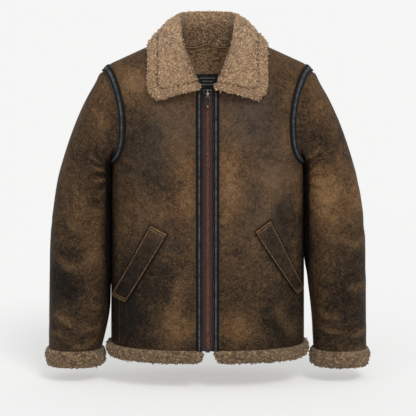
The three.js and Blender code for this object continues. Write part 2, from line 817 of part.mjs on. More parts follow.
function addPockets() {
  Object.entries(weltTables).forEach(([name, corners]) => {
    const { top, under } = patchGrids(corners, -1, 14, 5, 0.6, weltThickness);
    addWall(`pocket_welt_${name}`, 'leather', top, under);
  });
}

function addLabel() {
  const corners = [
    { x: -27, z: -82 },
    { x: 27, z: -82 },
    { x: 27, z: -124 },
    { x: -27, z: -124 },
  ];
  const lift = -clothThickness - 2;
  const { top, under } = patchGrids(corners, 1, 4, 6, lift, 1.2);
  addWall('neck_label', 'woven_label', top, under);
}

addFronts();
addBack();
const sleeve = addSleeves();
addCollar();
addHem();
addCuffs(sleeve);
addArmholeStrips();
addPockets();
addZip();
addSlider();
addPullTab();
addZipBox();
addLabel();

export default model;
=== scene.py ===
# Shearling coat, dressed around its frame. Metres, +X to the viewer's right, the front faces -Y.
import math
import bpy
import numpy as np
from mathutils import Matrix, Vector, kdtree


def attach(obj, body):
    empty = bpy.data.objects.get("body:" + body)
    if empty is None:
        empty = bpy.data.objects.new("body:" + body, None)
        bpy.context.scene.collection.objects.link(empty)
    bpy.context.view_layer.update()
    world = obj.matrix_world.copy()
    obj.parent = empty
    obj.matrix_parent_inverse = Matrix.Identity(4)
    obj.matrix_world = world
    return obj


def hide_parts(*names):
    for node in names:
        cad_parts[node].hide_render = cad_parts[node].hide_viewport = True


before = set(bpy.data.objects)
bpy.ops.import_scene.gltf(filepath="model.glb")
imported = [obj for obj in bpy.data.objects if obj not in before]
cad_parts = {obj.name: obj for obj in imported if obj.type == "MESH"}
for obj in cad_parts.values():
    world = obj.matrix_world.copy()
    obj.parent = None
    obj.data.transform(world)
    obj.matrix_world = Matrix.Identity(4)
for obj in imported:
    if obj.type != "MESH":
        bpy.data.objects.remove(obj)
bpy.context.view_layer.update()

# The body's form, as the solids have it
body = {
    "thickness": 0.008, "halfWidth": 0.211, "hemFlare": 0.003, "shoulderFlare": 0.031,
    "frontDepth": (0.128, 0.122), "backDepth": (0.120, 0.112), "squareness": 2.5,
    "underarmZ": -0.258, "hemZ": -0.668, "shoulderX": 0.229, "shoulderEndZ": -0.059, "slope": 0.454,
    "neckHalfWidth": 0.080, "backNeckLevel": 0.826, "frontNeckLevel": 0.5,
    "armhole": [(0, .211), (.07, .1995), (.15, .193), (.27, .190), (.46, .191), (.66, .199), (.87, .2145),
                (1, .229)],
    "neckline": [(.5, .0244), (.62, .040), (.78, .061), (.92, .0745), (1, .080)],
}
zip_ = {
    "topZ": -0.101, "bindingTopZ": -0.110, "panelEdge": 0.0244, "bindingInner": 0.0108, "bindingOuter": 0.0241,
    "tapeInner": 0.0003, "toothPitch": 0.0029, "toothReach": 0.0047,
}


def smoothRead(table, value):
    keys, vals = np.array(table, float).T
    value = np.asarray(value, float)
    i = np.clip(np.searchsorted(keys, value) - 1, 0, len(keys) - 2)
    before, after = np.maximum(np.arange(len(keys)) - 1, 0), np.minimum(np.arange(len(keys)) + 1,
                                                                        len(keys) - 1)
    slope = (vals[after] - vals[before]) / (keys[after] - keys[before])
    span = keys[i + 1] - keys[i]
    t = np.clip((value - keys[i]) / span, 0, 1)
    rise = t * t * (3 - 2 * t)
    curve = span * t * (1 - t) * ((1 - t) * slope[i] - t * slope[i + 1])
    return vals[i] * (1 - rise) + vals[i + 1] * rise + curve


def ridge(x):
    over = np.maximum(0, np.abs(x) - 0.205) / 0.024
    return body["shoulderEndZ"] + (0.220 - np.abs(x)) * body["slope"] - 0.009 * over ** 2


def belowArm(z):
    return np.maximum(0, (body["underarmZ"] - z) / (body["underarmZ"] - body["hemZ"]))


def halfWidth(z):
    above = np.maximum(0, (z - body["underarmZ"]) / (body["shoulderEndZ"] - body["underarmZ"]))
    return body["halfWidth"] + body["shoulderFlare"] * above ** 2 + body["hemFlare"] * belowArm(z)


def halfDepth(z, side):
    chest = np.where(np.asarray(side) < 0, body["frontDepth"][0], body["backDepth"][0])
    hem = np.where(np.asarray(side) < 0, body["frontDepth"][1], body["backDepth"][1])
    return chest + (hem - chest) * belowArm(z)


def heightAt(x, level):
    below = body["underarmZ"] + level * (body["underarmZ"] - body["hemZ"])
    return np.where(level <= 0, below, body["underarmZ"] + level * (ridge(x) - body["underarmZ"]))


def levelAt(x, z):
    below = (z - body["underarmZ"]) / (body["underarmZ"] - body["hemZ"])
    return np.where(z <= body["underarmZ"], below, (z - body["underarmZ"]) / (ridge(x) - body["underarmZ"]))


def bodyPoints(x, level, side):
    x, level = np.broadcast_arrays(np.asarray(x, float), np.asarray(level, float))
    n = body["squareness"]
    z = heightAt(x, level)
    across = np.maximum(0, 1 - (np.abs(x) / halfWidth(z)) ** n)
    upward = np.maximum(0, 1 - np.clip(level, 0, None) ** n)
    return np.stack([x, side * halfDepth(z, side) * (across * upward) ** (1 / n), z], -1)


def bodyField(p):
    n = body["squareness"]
    x, y, z = p[..., 0], p[..., 1], p[..., 2]
    level = np.maximum(0, levelAt(x, z))
    forward = (np.abs(y) / halfDepth(z, np.where(y < 0, -1, 1))) ** n
    return forward - (1 - (np.abs(x) / halfWidth(z)) ** n) * (1 - level ** n)


def bodySlope(p, step=5e-5):
    slopes = []
    for axis in range(3):
        shift = np.zeros(3)
        shift[axis] = step
        slopes.append((bodyField(p + shift) - bodyField(p - shift)) / (2 * step))
    return np.stack(slopes, -1)


def unit(v):
    return v / np.maximum(np.linalg.norm(v, axis=-1, keepdims=True), 1e-12)


def bodyNormals(p):
    return unit(bodySlope(p))


def ontoBody(p):
    p = p.copy()
    for _ in range(8):
        slope = bodySlope(p)
        p -= slope * (bodyField(p) / (slope ** 2).sum(-1))[..., None]
    return p


def clearOfBody(p, clearance):
    foot = ontoBody(p)
    away = np.linalg.norm(p - foot, axis=-1) * np.sign(bodyField(p))
    return np.where((away >= clearance)[..., None], p, foot + bodyNormals(foot) * clearance)


# Where a sleeve lies against the body: how far it is drawn up, and from which gaps, high up and low down
touch = {"reach": (0.006, 0.003), "gapFrom": (0.0120, 0.0075), "gapTo": (0.0060, 0.0030),
         "highZ": (-0.305, -0.345),
         "startZ": (-0.258, -0.266), "letGoZ": (-0.500, -0.555), "halfWidth": 0.235}


def againstBody(p, clearance):
    # what faces the body closely is drawn up to it, and let go again where it swings clear
    foot = ontoBody(p)
    gap = np.linalg.norm(p - foot, axis=-1) * np.sign(bodyField(p))
    z = p[..., 2]
    low = (z < body["underarmZ"] - 0.002) & (np.abs(p[..., 0]) < touch["halfWidth"])
    upper = smoothStep(touch["highZ"][1], touch["highZ"][0], z)
    reach, gapFrom, gapTo = (touch[k][1] + (touch[k][0] - touch[k][1]) * upper for k in ("reach", "gapFrom",
                                                                                         "gapTo"))
    near = smoothStep(gapFrom, gapTo, gap) * smoothStep(*touch["startZ"], z)
    near = near * smoothStep(touch["letGoZ"][1], touch["letGoZ"][0], z)
    closer = np.where(low, np.minimum(near * reach, np.maximum(gap - clearance, 0)), 0)
    return p - bodyNormals(foot) * closer[..., None]


def spread(f):
    return np.sin(f * math.pi / 2) ** (2 / body["squareness"])


def unspread(g):
    return np.arcsin(g ** (body["squareness"] / 2)) / (math.pi / 2)


def denseEnds(count, inset=(0.0, 0.004, 0.009, 0.016)):
    inner = np.linspace(inset[-1], 1 - inset[-1], count)[1:-1]
    return np.concatenate([inset, inner, 1 - np.array(inset[::-1])])


def panelLevels(lower, upper):
    low = -1 + denseEnds(lower)[:-1]
    high = (1 - np.cos(np.linspace(0, math.pi, upper))) / 2
    return np.concatenate([low, high])


def outerEdgeX(level):
    return np.where(level <= 0, halfWidth(heightAt(0.2, level)), smoothRead(body["armhole"], level))


def frontGrid(columns, levels):
    outer = outerEdgeX(levels)
    inner = np.where(levels <= body["frontNeckLevel"], zip_["panelEdge"],
                     smoothRead(body["neckline"], levels))
    start = unspread(inner / outer)
    f = start[:, None] + (1 - start[:, None]) * denseEnds(columns)[None]
    return bodyPoints(outer[:, None] * spread(f), levels[:, None] + 0 * f, -1)


neckFraction = float(unspread(body["neckHalfWidth"] / body["shoulderX"]))


def backTop(f):
    across = np.minimum(1, np.abs(f) / neckFraction)
    return body["backNeckLevel"] + (1 - body["backNeckLevel"]) * across ** 2.2


def backGrid(columns, levels):
    neck = np.linspace(0, neckFraction, max(4, columns // 5))[:-1]
    half = np.concatenate([neck, neckFraction + (1 - neckFraction) * denseEnds(columns)])
    f = np.concatenate([-half[:0:-1], half])[None]
    x = np.sign(f) * outerEdgeX(levels)[:, None] * spread(np.abs(f))
    level = np.where(levels[:, None] > 0, levels[:, None] * backTop(f), levels[:, None])
    return bodyPoints(x, level, 1)


# Sleeve rings: outer end x z, inner end x of the right and left sleeve and its z, half-depth, share of the armhole
sleeveTable = [
    (.229, -.072, .211, .211, -.258, .061, 1), (.243, -.094, .2154, .2154, -.266, .063, .66),
    (.263, -.129, .2156, .2156, -.279, .065, .4), (.280, -.164, .2144, .2144, -.296, .065, .2),
    (.299, -.211, .2132, .2132, -.318, .063, .07), (.316, -.262, .2128, .2128, -.342, .061, 0),
    (.330, -.312, .2129, .2129, -.372, .059, 0), (.339, -.365, .2131, .2131, -.408, .058, 0),
    (.346, -.430, .214, .2134, -.455, .057, 0), (.349, -.510, .220, .2138, -.522, .056, 0),
    (.351, -.597, .2295, .217, -.602, .056, 0), (.353, -.684, .235, .235, -.684, .057, 0),
]
sleeve = {"frontSeam": 12 / 14, "backSeam": 9 / 14, "clearance": 0.0004}  # seams as shares of the half ring


def signedPower(v, power):
    return np.sign(v) * np.abs(v) ** power


def armholeEdge(turn):
    turn = np.mod(turn, 2.0)
    level = (1 + signedPower(np.cos(math.pi * turn), 2 / 2.2)) / 2
    front = bodyPoints(outerEdgeX(level), level, -1)
    back = bodyPoints(outerEdgeX(level), level, 1)
    return np.where((turn <= 1)[..., None], front, back)


def armholeFrame(turn):
    point = armholeEdge(turn)
    out = bodyNormals(point)
    along = unit(armholeEdge(turn + 0.008) - armholeEdge(turn - 0.008))
    return point, out, unit(np.cross(along, out))


def sleeveRing(row, turn, leftward=False):
    outX, outZ, rightX, leftX, inZ, depth, _ = row
    inX = leftX if leftward else rightX
    c, s = signedPower(np.cos(math.pi * turn), 2 / 2.2), signedPower(np.sin(math.pi * turn), 2 / 2.2)
    return np.stack([(outX + inX) / 2 + c * (outX - inX) / 2, -depth * s,
                     (outZ + inZ) / 2 + c * (outZ - inZ) / 2], -1)


def sleeveGrid(turns, rows, leftward):
    point, out, over = armholeFrame(turns)
    armhole = point - over * 0.0007
    shoulder = ((1 + signedPower(np.cos(math.pi * turns), 2 / 2.2)) / 2)[:, None]
    rise = armhole - over * (0.003 + 0.005 * shoulder) + out * (0.0024 - 0.0012 * shoulder)
    rings = [armhole, rise]
    for row in sleeveTable[1:]:
        rings.append(sleeveRing(row, turns, leftward) + (armhole - sleeveRing(sleeveTable[0],
                                                                              turns)) * row[6])
    rings = np.array(rings)
    steps = np.linalg.norm(np.diff(rings, axis=0), axis=2).mean(1)
    place = np.concatenate([[0], np.cumsum(steps)]) / steps.sum()
    grid = np.zeros((len(rows), len(turns), 3))
    for j in range(len(turns)):
        for k in range(3):
            grid[:, j, k] = smoothRead(list(zip(place, rings[:, j, k])), rows)
    return grid


def gridNormals(grid, loopAcross=False):
    down = np.gradient(grid, axis=0)
    if loopAcross:
        across = np.roll(grid, -1, 1) - np.roll(grid, 1, 1)
    else:
        across = np.gradient(grid, axis=1)
    return unit(np.cross(across, down))


def smoothStep(low, high, v):
    t = np.clip((v - low) / (high - low), 0, 1)
    return t * t * (3 - 2 * t)


# Main creases: ends x z, width, depth, side. Troughs are positive, and each has a low ridge beside it
creaseTable = [
    (-.190, -.262, -.160, -.288, .008, .0016, -1), (-.188, -.300, -.150, -.350, .011, .0016, -1),
    (.192, -.268, .158, -.300, .009, .0016, -1), (.190, -.310, .160, -.372, .011, .0016, -1),
    (-.060, -.300, -.085, -.520, .022, .0020, -1), (.075, -.240, .060, -.480, .024, .0022, -1),
    (-.120, -.480, -.100, -.650, .020, .0020, -1), (.120, -.560, .140, -.660, .018, .0022, -1),
    (-.030, -.560, -.070, -.630, .012, .0016, -1), (-.150, -.130, -.120, -.260, .022, .0018, -1),
    (.155, -.120, .128, -.250, .022, .0018, -1),
    (.200, -.265, .140, -.310, .012, .0034, 1), (-.200, -.265, -.146, -.300, .012, .0034, 1),
    (.196, -.310, .150, -.390, .014, .0028, 1), (-.196, -.306, -.156, -.400, .014, .0028, 1),
    (-.050, -.200, -.090, -.420, .024, .0026, 1), (.060, -.180, .085, -.400, .024, .0024, 1),
    (-.110, -.500, -.060, -.600, .020, .0022, 1), (.030, -.520, .110, -.610, .020, .0024, 1),
]
# The same on the right sleeve; the left one has them mirrored, with its own waver
sleeveCreases = [
    (.2145, -.268, .252, -.238, .0046, .0040), (.2140, -.282, .248, -.262, .0042, .0036),
    (.2135, -.297, .250, -.296, .0048, .0038), (.2132, -.314, .246, -.330, .0050, .0030),
    (.226, -.352, .262, -.372, .009, .0022), (.345, -.400, .290, -.432, .013, .0028),
    (.250, -.455, .318, -.470, .013, .0022), (.346, -.500, .296, -.524, .013, .0024),
    (.232, -.610, .290, -.628, .008, .0026), (.350, -.622, .290, -.640, .009, .0028),
    (.236, -.646, .318, -.658, .008, .0026), (.352, -.664, .296, -.668, .008, .0020),
    (.262, -.164, .244, -.215, .012, .0020), (.320, -.300, .300, -.400, .020, .0020),
]


def creaseDepth(p, rows, sides, seed):
    wander = np.random.default_rng(seed)
    x, z = p[..., 0], p[..., 2]
    total = np.zeros(x.shape)
    for (x0, z0, x1, z1, width, depth), side in zip(rows, sides):
        start, run = np.array([x0, z0]), np.array([x1 - x0, z1 - z0])
        length = np.linalg.norm(run)
        t = ((x - x0) * run[0] + (z - z0) * run[1]) / length ** 2
        wave = width * 0.45 * np.sin(t * wander.uniform(4, 7) + wander.uniform(0, 6))
        off = ((z - z0) * run[0] - (x - x0) * run[1]) / length + wave
        ends = smoothStep(-0.12, 0.3, t) * smoothStep(1.15, 0.6, t)
        facing = smoothStep(-0.02, 0.012, p[..., 1] * side)
        trough = np.exp(-(off / width) ** 2) - 0.45 * np.exp(-((off - 1.9 * width) / (1.1 * width)) ** 2)
        total += depth * trough * ends * facing
    return total


def seamSink(grid, edgeDepth):
    # distance to the grid's own borders, so each seam lies in a soft groove
    across = np.concatenate([np.zeros((len(grid), 1)), np.cumsum(np.linalg.norm(np.diff(grid, axis=1),
                                                                                axis=2), 1)], 1)
    down = np.concatenate([np.zeros((1, grid.shape[1])), np.cumsum(np.linalg.norm(np.diff(grid, axis=0),
                                                                                  axis=2), 0)], 0)
    edges, ends = np.minimum(across, across[:, -1:] - across), np.minimum(down, down[-1:] - down)
    sink = np.maximum(edgeDepth * np.exp(-(edges / 0.0028) ** 2), 0.0016 * np.exp(-(ends / 0.0028) ** 2))
    return sink, across, down


# New pieces
def deselectAll():
    bpy.context.view_layer.update()
    bpy.ops.object.select_all(action="DESELECT")


def gridPiece(name, grid, outward=None, uv=None):
    # a plane of the right number of squares, each corner then moved to its place on the cloth
    if outward is not None:
        mid = grid[len(grid) // 2, grid.shape[1] // 2]
        a, b = grid[len(grid) // 2, grid.shape[1] // 2 + 1] - mid, grid[len(grid) // 2 + 1,
                                                                        grid.shape[1] // 2] - mid
        if np.dot(np.cross(a, b), outward[len(grid) // 2, grid.shape[1] // 2]) < 0:
            grid = grid[:, ::-1]
            uv = None if uv is None else uv[:, ::-1]
    rows, columns = grid.shape[:2]
    deselectAll()
    bpy.ops.mesh.primitive_grid_add(x_subdivisions=columns - 1, y_subdivisions=rows - 1, size=1,
                                    calc_uvs=True)
    piece = bpy.context.object
    piece.name = piece.data.name = name
    piece.data.vertices.foreach_set("co", np.ascontiguousarray(grid, np.float32).ravel())
    if uv is not None:
        corners = np.zeros(len(piece.data.loops), int)
        piece.data.loops.foreach_get("vertex_index", corners)
        piece.data.uv_layers[0].data.foreach_set("uv", uv.reshape(-1, 2)[corners].astype(np.float32).ravel())
    piece.data.update()
    return piece


def setMask(piece, name, values):
    layer = piece.data.attributes.new(name, "FLOAT", "POINT")
    layer.data.foreach_set("value", np.ascontiguousarray(values, np.float32).ravel())


def pieceCoordinates(piece):
    co = np.zeros(len(piece.data.vertices) * 3, np.float32)
    piece.data.vertices.foreach_get("co", co)
    return co.reshape(-1, 3).astype(float)


def applyModifier(piece, kind, **settings):
    deselectAll()
    bpy.context.view_layer.objects.active = piece
    piece.select_set(True)
    modifier = piece.modifiers.new(kind.title(), kind)
    for key, value in settings.items():
        setattr(modifier, key, value)
    bpy.ops.object.modifier_apply(modifier=modifier.name)


def shadeSmooth(piece, angle=50):
    deselectAll()
    bpy.context.view_layer.objects.active = piece
    piece.select_set(True)
    bpy.ops.object.shade_smooth_by_angle(angle=math.radians(angle))


def inEditMode(piece, *steps):
    deselectAll()
    bpy.context.view_layer.objects.active = piece
    piece.select_set(True)
    bpy.ops.object.mode_set(mode="EDIT")
    for step in steps:
        step()
    bpy.ops.object.mode_set(mode="OBJECT")


def joinPieces(first, *others):
    deselectAll()
    for o in (first, *others):
        o.select_set(True)
    bpy.context.view_layer.objects.active = first
    bpy.ops.object.join()
    return first


def mirroredX(grid):
    return grid * np.array([-1.0, 1, 1])


# Shader helpers
def nodeGroup(name, inputs, outputs):
    group = bpy.data.node_groups.new(name, "ShaderNodeTree")
    for label, kind, value in inputs:
        socket = group.interface.new_socket(label, in_out="INPUT", socket_type=kind)
        if value is not None:
            socket.default_value = value
    for label, kind in outputs:
        group.interface.new_socket(label, in_out="OUTPUT", socket_type=kind)
    return group, group.nodes.new("NodeGroupInput"), group.nodes.new("NodeGroupOutput")


def addNode(tree, kind, settings=None, **inputs):
    node = tree.nodes.new(kind)
    for key, value in (settings or {}).items():
        setattr(node, key, value)
    for key, value in inputs.items():
        socket = node.inputs[int(key[1:])] if key[0] == "i" and key[1:].isdigit() else node.inputs[key]
        if isinstance(value, bpy.types.NodeSocket):
            tree.links.new(value, socket)
        else:
            socket.default_value = value
    return node


def mathNode(tree, operation, a, b=0.0, c=None, clamp=False):
    inputs = {"i0": a, "i1": b}
    if c is not None:
        inputs["i2"] = c
    return addNode(tree, "ShaderNodeMath", {"operation": operation, "use_clamp": clamp}, **inputs).outputs[0]


def mixColour(tree, factor, a, b, blend="MIX"):
    node = tree.nodes.new("ShaderNodeMix")
    node.data_type, node.blend_type = "RGBA", blend
    for index, value in ((0, factor), (6, a), (7, b)):
        if isinstance(value, bpy.types.NodeSocket):
            tree.links.new(value, node.inputs[index])
        else:
            node.inputs[index].default_value = value
    return node.outputs[2]


def linear(r, g, b):
    return tuple((v / 255 / 12.92) if v <= 10.3 else ((v / 255 + 0.055) / 1.055) ** 2.4 for v in (r, g,
                                                                                                  b)) + (1.0,)


def newMaterial(name, roughness=0.6, metallic=0.0, **sockets):
    material = bpy.data.materials.new(name)
    material.use_nodes = True
    tree = material.node_tree
    shader = tree.nodes["Principled BSDF"]
    shader.inputs["Roughness"].default_value = roughness
    shader.inputs["Metallic"].default_value = metallic
    for key, value in sockets.items():
        shader.inputs[key.replace("_", " ")].default_value = value
    return material, tree, shader


def objectPlace(tree):
    return tree.nodes.new("ShaderNodeTexCoord").outputs["Object"]


def noiseOn(tree, place, scale, detail=4.0, rough=0.55, distortion=0.0):
    return addNode(tree, "ShaderNodeTexNoise", Vector=place, Scale=scale, Detail=detail, Roughness=rough,
                   Distortion=distortion).outputs["Fac"]


def rampOn(tree, factor, *stops):
    node = tree.nodes.new("ShaderNodeValToRGB")
    ramp = node.color_ramp
    while len(ramp.elements) < len(stops):
        ramp.elements.new(0.5)
    for element, (place, colour) in zip(ramp.elements, stops):
        element.position, element.color = place, colour
    tree.links.new(factor, node.inputs[0])
    return node.outputs["Color"]


def maskOf(tree, name):
    return addNode(tree, "ShaderNodeAttribute", {"attribute_name": name}).outputs["Fac"]


def bumpInto(tree, shader, height, distance, strength=1.0, normal=None):
    inputs = {"Height": height, "Distance": distance, "Strength": strength}
    if normal is not None:
        inputs["Normal"] = normal
    out = addNode(tree, "ShaderNodeBump", **inputs).outputs["Normal"]
    tree.links.new(out, shader.inputs["Normal"])
    return out


def buildGrain():
    # fine pebbled skin: cells for the pebbles, noise for creased patches
    group, given, result = nodeGroup(
        "skinGrain", [("Place", "NodeSocketVector", None), ("Scale", "NodeSocketFloat", 700.0)],
        [("Height", "NodeSocketFloat"), ("Cracks", "NodeSocketFloat")])
    place, scale = given.outputs["Place"], given.outputs["Scale"]
    warp = addNode(group, "ShaderNodeTexNoise", Vector=place, Scale=60.0, Detail=3.0)
    bent = addNode(group, "ShaderNodeVectorMath", {"operation": "MULTIPLY_ADD"}, i0=warp.outputs["Color"],
                   i1=(0.004, 0.004, 0.004), i2=place).outputs[0]
    cells = addNode(group, "ShaderNodeTexVoronoi", {"feature": "DISTANCE_TO_EDGE"}, Vector=bent, Scale=scale)
    pebble = mathNode(group, "MULTIPLY", cells.outputs["Distance"], 2.6, clamp=True)
    fine = noiseOn(group, place, 1600.0, 3.0)
    group.links.new(mathNode(group, "MULTIPLY_ADD", fine, 0.35, pebble), result.inputs["Height"])
    group.links.new(mathNode(group, "SUBTRACT", 1.0, pebble, clamp=True), result.inputs["Cracks"])
    return group


grainGroup = buildGrain()


def useGroup(tree, group, **inputs):
    node = tree.nodes.new("ShaderNodeGroup")
    node.node_tree = group
    for key, value in inputs.items():
        if isinstance(value, bpy.types.NodeSocket):
            tree.links.new(value, node.inputs[key])
        else:
            node.inputs[key].default_value = value
    return node


leatherLook = {
    "char": linear(19, 14, 10), "dark": linear(46, 35, 24), "brown": linear(80, 61, 42), "tan": linear(116, 86, 56),
    "worn": linear(150, 115, 78), "fleckAndShadeBlack": linear(13, 9, 7), "chestGreyAndSheen": linear(106, 91, 80),
}


def levelsOf(tree, value, low, high):
    node = addNode(tree, "ShaderNodeMapRange", Value=value)
    node.inputs["From Min"].default_value, node.inputs["From Max"].default_value = low, high
    return node.outputs[0]


def veinsOn(tree, place, scale, width):
    # thin wandering lines, as creased skin has them: 1 on a line
    wander = noiseOn(tree, place, scale, 2.5, 0.55, 1.1)
    return levelsOf(tree, mathNode(tree, "ABSOLUTE", mathNode(tree, "SUBTRACT", wander, 0.5)), width, 0.0)


def buildLeather():
    # distressed skin: broad patches, a fine mottle, then creases, dark flecks and cracked grain over them; the grey
    # patches carry painted sheen, and the last mix lays painted shade into creases, grooves and between parts
    material, tree, shader = newMaterial("leatherBrown", 0.6, Specular_IOR_Level=0.10)
    look = leatherLook
    place = objectPlace(tree)
    broad = noiseOn(tree, place, 9.0, 5.0, 0.62, 0.5)
    mottle = noiseOn(tree, place, 72.0, 8.0, 0.86, 0.6)
    speck = noiseOn(tree, place, 260.0, 5.0, 0.80, 0.3)
    tone = mathNode(tree, "MULTIPLY_ADD", broad, 0.36, mathNode(tree, "MULTIPLY", mottle, 1.15))
    tone = mathNode(tree, "MULTIPLY_ADD", speck, 1.25, tone)
    height = addNode(tree, "ShaderNodeSeparateXYZ", Vector=place).outputs["Z"]
    tone = mathNode(tree, "MULTIPLY_ADD", levelsOf(tree, height, -0.55, -0.10), 0.11, tone)
    tone = mathNode(tree, "ADD", tone, -0.83)
    tone = mathNode(tree, "MULTIPLY_ADD", maskOf(tree, "tan"), 0.30, tone)
    # the dark mask holds darker patches of the skin, and painted shade down the body's sides and along the sleeves'
    # outer edges
    tone = mathNode(tree, "MULTIPLY_ADD", maskOf(tree, "dark"), -0.25, tone)
    colour = rampOn(tree, tone, (0.22, look["char"]), (0.40, look["dark"]), (0.57, look["brown"]),
                    (0.80, look["tan"]), (1.0, look["worn"]))
    # greyer leather with painted sheen over it, high on the chest and the back
    colour = mixColour(tree, mathNode(tree, "MULTIPLY", maskOf(tree, "greyAndSheen"), 0.5), colour, look["chestGreyAndSheen"])
    patches = levelsOf(tree, noiseOn(tree, place, 22.0, 3.0, 0.6), 0.42, 0.60)
    veins = mathNode(tree, "MAXIMUM", veinsOn(tree, place, 42.0, 0.042),
                     mathNode(tree, "MULTIPLY", veinsOn(tree, place, 105.0, 0.060), 0.8))
    veins = mathNode(tree, "MULTIPLY", veins, mathNode(tree, "MULTIPLY_ADD", patches, 0.75, 0.2))
    flecks = levelsOf(tree, noiseOn(tree, place, 150.0, 8.0, 0.90, 1.2), 0.505, 0.560)
    darker = levelsOf(tree, tone, 0.85, 0.40)
    flecks = mathNode(tree, "MULTIPLY", flecks, mathNode(tree, "MULTIPLY_ADD", darker, 0.50, 0.22))
    grain = useGroup(tree, grainGroup, Place=place, Scale=520.0)
    marks = mathNode(tree, "MAXIMUM", flecks, mathNode(tree, "MULTIPLY", grain.outputs["Cracks"], 0.3))
    marks = mathNode(tree, "MAXIMUM", marks, mathNode(tree, "MULTIPLY", veins, 0.8))
    colour = mixColour(tree, marks, colour, look["fleckAndShadeBlack"])
    rubbed = mathNode(tree, "MULTIPLY", maskOf(tree, "wear"), levelsOf(tree, speck, 0.36, 0.56))
    colour = mixColour(tree, mathNode(tree, "MULTIPLY", rubbed, 0.85), colour, look["worn"])
    # painted shade in crease troughs, seam grooves and between parts, plus the welts' own darker middles, mixed in
    # near-black from its mask
    colour = mixColour(tree, maskOf(tree, "paintedShadeAndDarkTone"), colour, look["fleckAndShadeBlack"])
    tree.links.new(colour, shader.inputs["Base Color"])
    tree.links.new(mathNode(tree, "MULTIPLY_ADD", mottle, 0.4, 0.32), shader.inputs["Roughness"])
    relief = mathNode(tree, "MULTIPLY_ADD", noiseOn(tree, place, 70.0, 5.0, 0.65), 2.2,
                      grain.outputs["Height"])
    relief = mathNode(tree, "MULTIPLY_ADD", veins, -1.4, relief)
    bumpInto(tree, shader, relief, 0.0007, 1.0)
    return material


def buildFur(name, paintedShadeAndDarkTone, mid, tip, strand=900.0):
    material, tree, shader = newMaterial(name, 0.95, Sheen_Weight=0.12, Sheen_Roughness=0.7,
                                         Specular_IOR_Level=0.1)
    place = objectPlace(tree)
    strands = noiseOn(tree, place, strand, 3.0, 0.7, 2.5)
    # the tip mask makes the raised locks lighter and the gaps between them darker: painted light and shade; the shade
    # mask adds more painted shade
    tone = mathNode(tree, "MULTIPLY_ADD", maskOf(tree, "tip"), 0.80,
                    mathNode(tree, "MULTIPLY", strands, 0.16))
    tone = mathNode(tree, "MULTIPLY_ADD", maskOf(tree, "lock"), 0.14, tone)
    tone = mathNode(tree, "MULTIPLY_ADD", maskOf(tree, "shade"), -0.16, tone)
    colour = rampOn(tree, tone, (0.05, paintedShadeAndDarkTone), (0.42, mid), (0.95, tip))
    tree.links.new(colour, shader.inputs["Base Color"])
    bumpInto(tree, shader, strands, 0.0007, 0.9)
    return material


def buildBlackLeather():
    # black leather, with a painted grey highlight along the ridges where the ridge mask is set
    material, tree, shader = newMaterial("blackLeather", 0.3, Specular_IOR_Level=0.14)
    place = objectPlace(tree)
    grain = useGroup(tree, grainGroup, Place=place, Scale=900.0)
    mottle = noiseOn(tree, place, 90.0, 6.0, 0.7)
    paintedHighlightMask = maskOf(tree, "ridge")
    # painted highlight, broken up by the mottle
    worn = mathNode(tree, "MULTIPLY", paintedHighlightMask, levelsOf(tree, mottle, 0.30, 0.62))
    colour = mixColour(tree, worn, linear(8, 8, 9), linear(96, 99, 102))
    tree.links.new(colour, shader.inputs["Base Color"])
    tree.links.new(mathNode(tree, "MULTIPLY_ADD", paintedHighlightMask, -0.25, 0.62), shader.inputs["Roughness"])
    bumpInto(tree, shader, grain.outputs["Height"], 0.00025, 0.6)
    return material


def buildTape():
    # a woven tape whose ribs and two brighter lines follow its own length
    material, tree, shader = newMaterial("zipTape", 0.82)
    uv = addNode(tree, "ShaderNodeUVMap").outputs["UV"]
    parts = addNode(tree, "ShaderNodeSeparateXYZ", Vector=uv)
    ribs = mathNode(tree, "SINE", mathNode(tree, "MULTIPLY", parts.outputs["Y"], 2 * math.pi / 0.0011))
    lines = mathNode(tree, "SINE", mathNode(tree, "MULTIPLY", parts.outputs["X"], 2 * math.pi / 0.0016))
    weave = mathNode(tree, "MULTIPLY", ribs, lines)
    tone = mathNode(tree, "MULTIPLY_ADD", weave, 0.3, 0.5)
    colour = rampOn(tree, tone, (0.2, linear(30, 16, 17)), (0.8, linear(84, 30, 34)))
    tree.links.new(colour, shader.inputs["Base Color"])
    bumpInto(tree, shader, weave, 0.0002, 0.7)
    return material


def buildMetal(name, dull, bright, rough):
    material, tree, shader = newMaterial(name, rough, 0.9)
    place = objectPlace(tree)
    patina = noiseOn(tree, place, 350.0, 4.0, 0.6)
    colour = rampOn(tree, patina, (0.3, dull), (0.7, bright))
    tree.links.new(colour, shader.inputs["Base Color"])
    tree.links.new(mathNode(tree, "MULTIPLY_ADD", patina, 0.35, rough - 0.14), shader.inputs["Roughness"])
    bumpInto(tree, shader, patina, 0.0001, 0.4)
    return material


def buildThread():
    material, tree, shader = newMaterial("thread", 0.7)
    twist = noiseOn(tree, objectPlace(tree), 1500.0, 2.0)
    tree.links.new(rampOn(tree, twist, (0.3, linear(50, 38, 28)), (0.7, linear(104, 82, 58))),
                   shader.inputs["Base Color"])
    return material


def buildLabel():
    material, tree, shader = newMaterial("wovenLabel", 0.75)
    uv = addNode(tree, "ShaderNodeUVMap").outputs["UV"]
    parts = addNode(tree, "ShaderNodeSeparateXYZ", Vector=uv)
    weave = mathNode(tree, "MULTIPLY", mathNode(tree, "SINE", mathNode(tree, "MULTIPLY", parts.outputs["X"],
                                                                       7000.0)),
                     mathNode(tree, "SINE", mathNode(tree, "MULTIPLY", parts.outputs["Y"], 7000.0)))
    tone = mathNode(tree, "MULTIPLY_ADD", weave, 0.4, 0.5)
    colour = rampOn(tree, tone, (0.2, linear(20, 20, 24)), (0.8, linear(42, 42, 48)))
    colour = mixColour(tree, maskOf(tree, "bar"), colour, linear(150, 148, 142))
    tree.links.new(colour, shader.inputs["Base Color"])
    bumpInto(tree, shader, weave, 0.0002, 0.6)
    return material


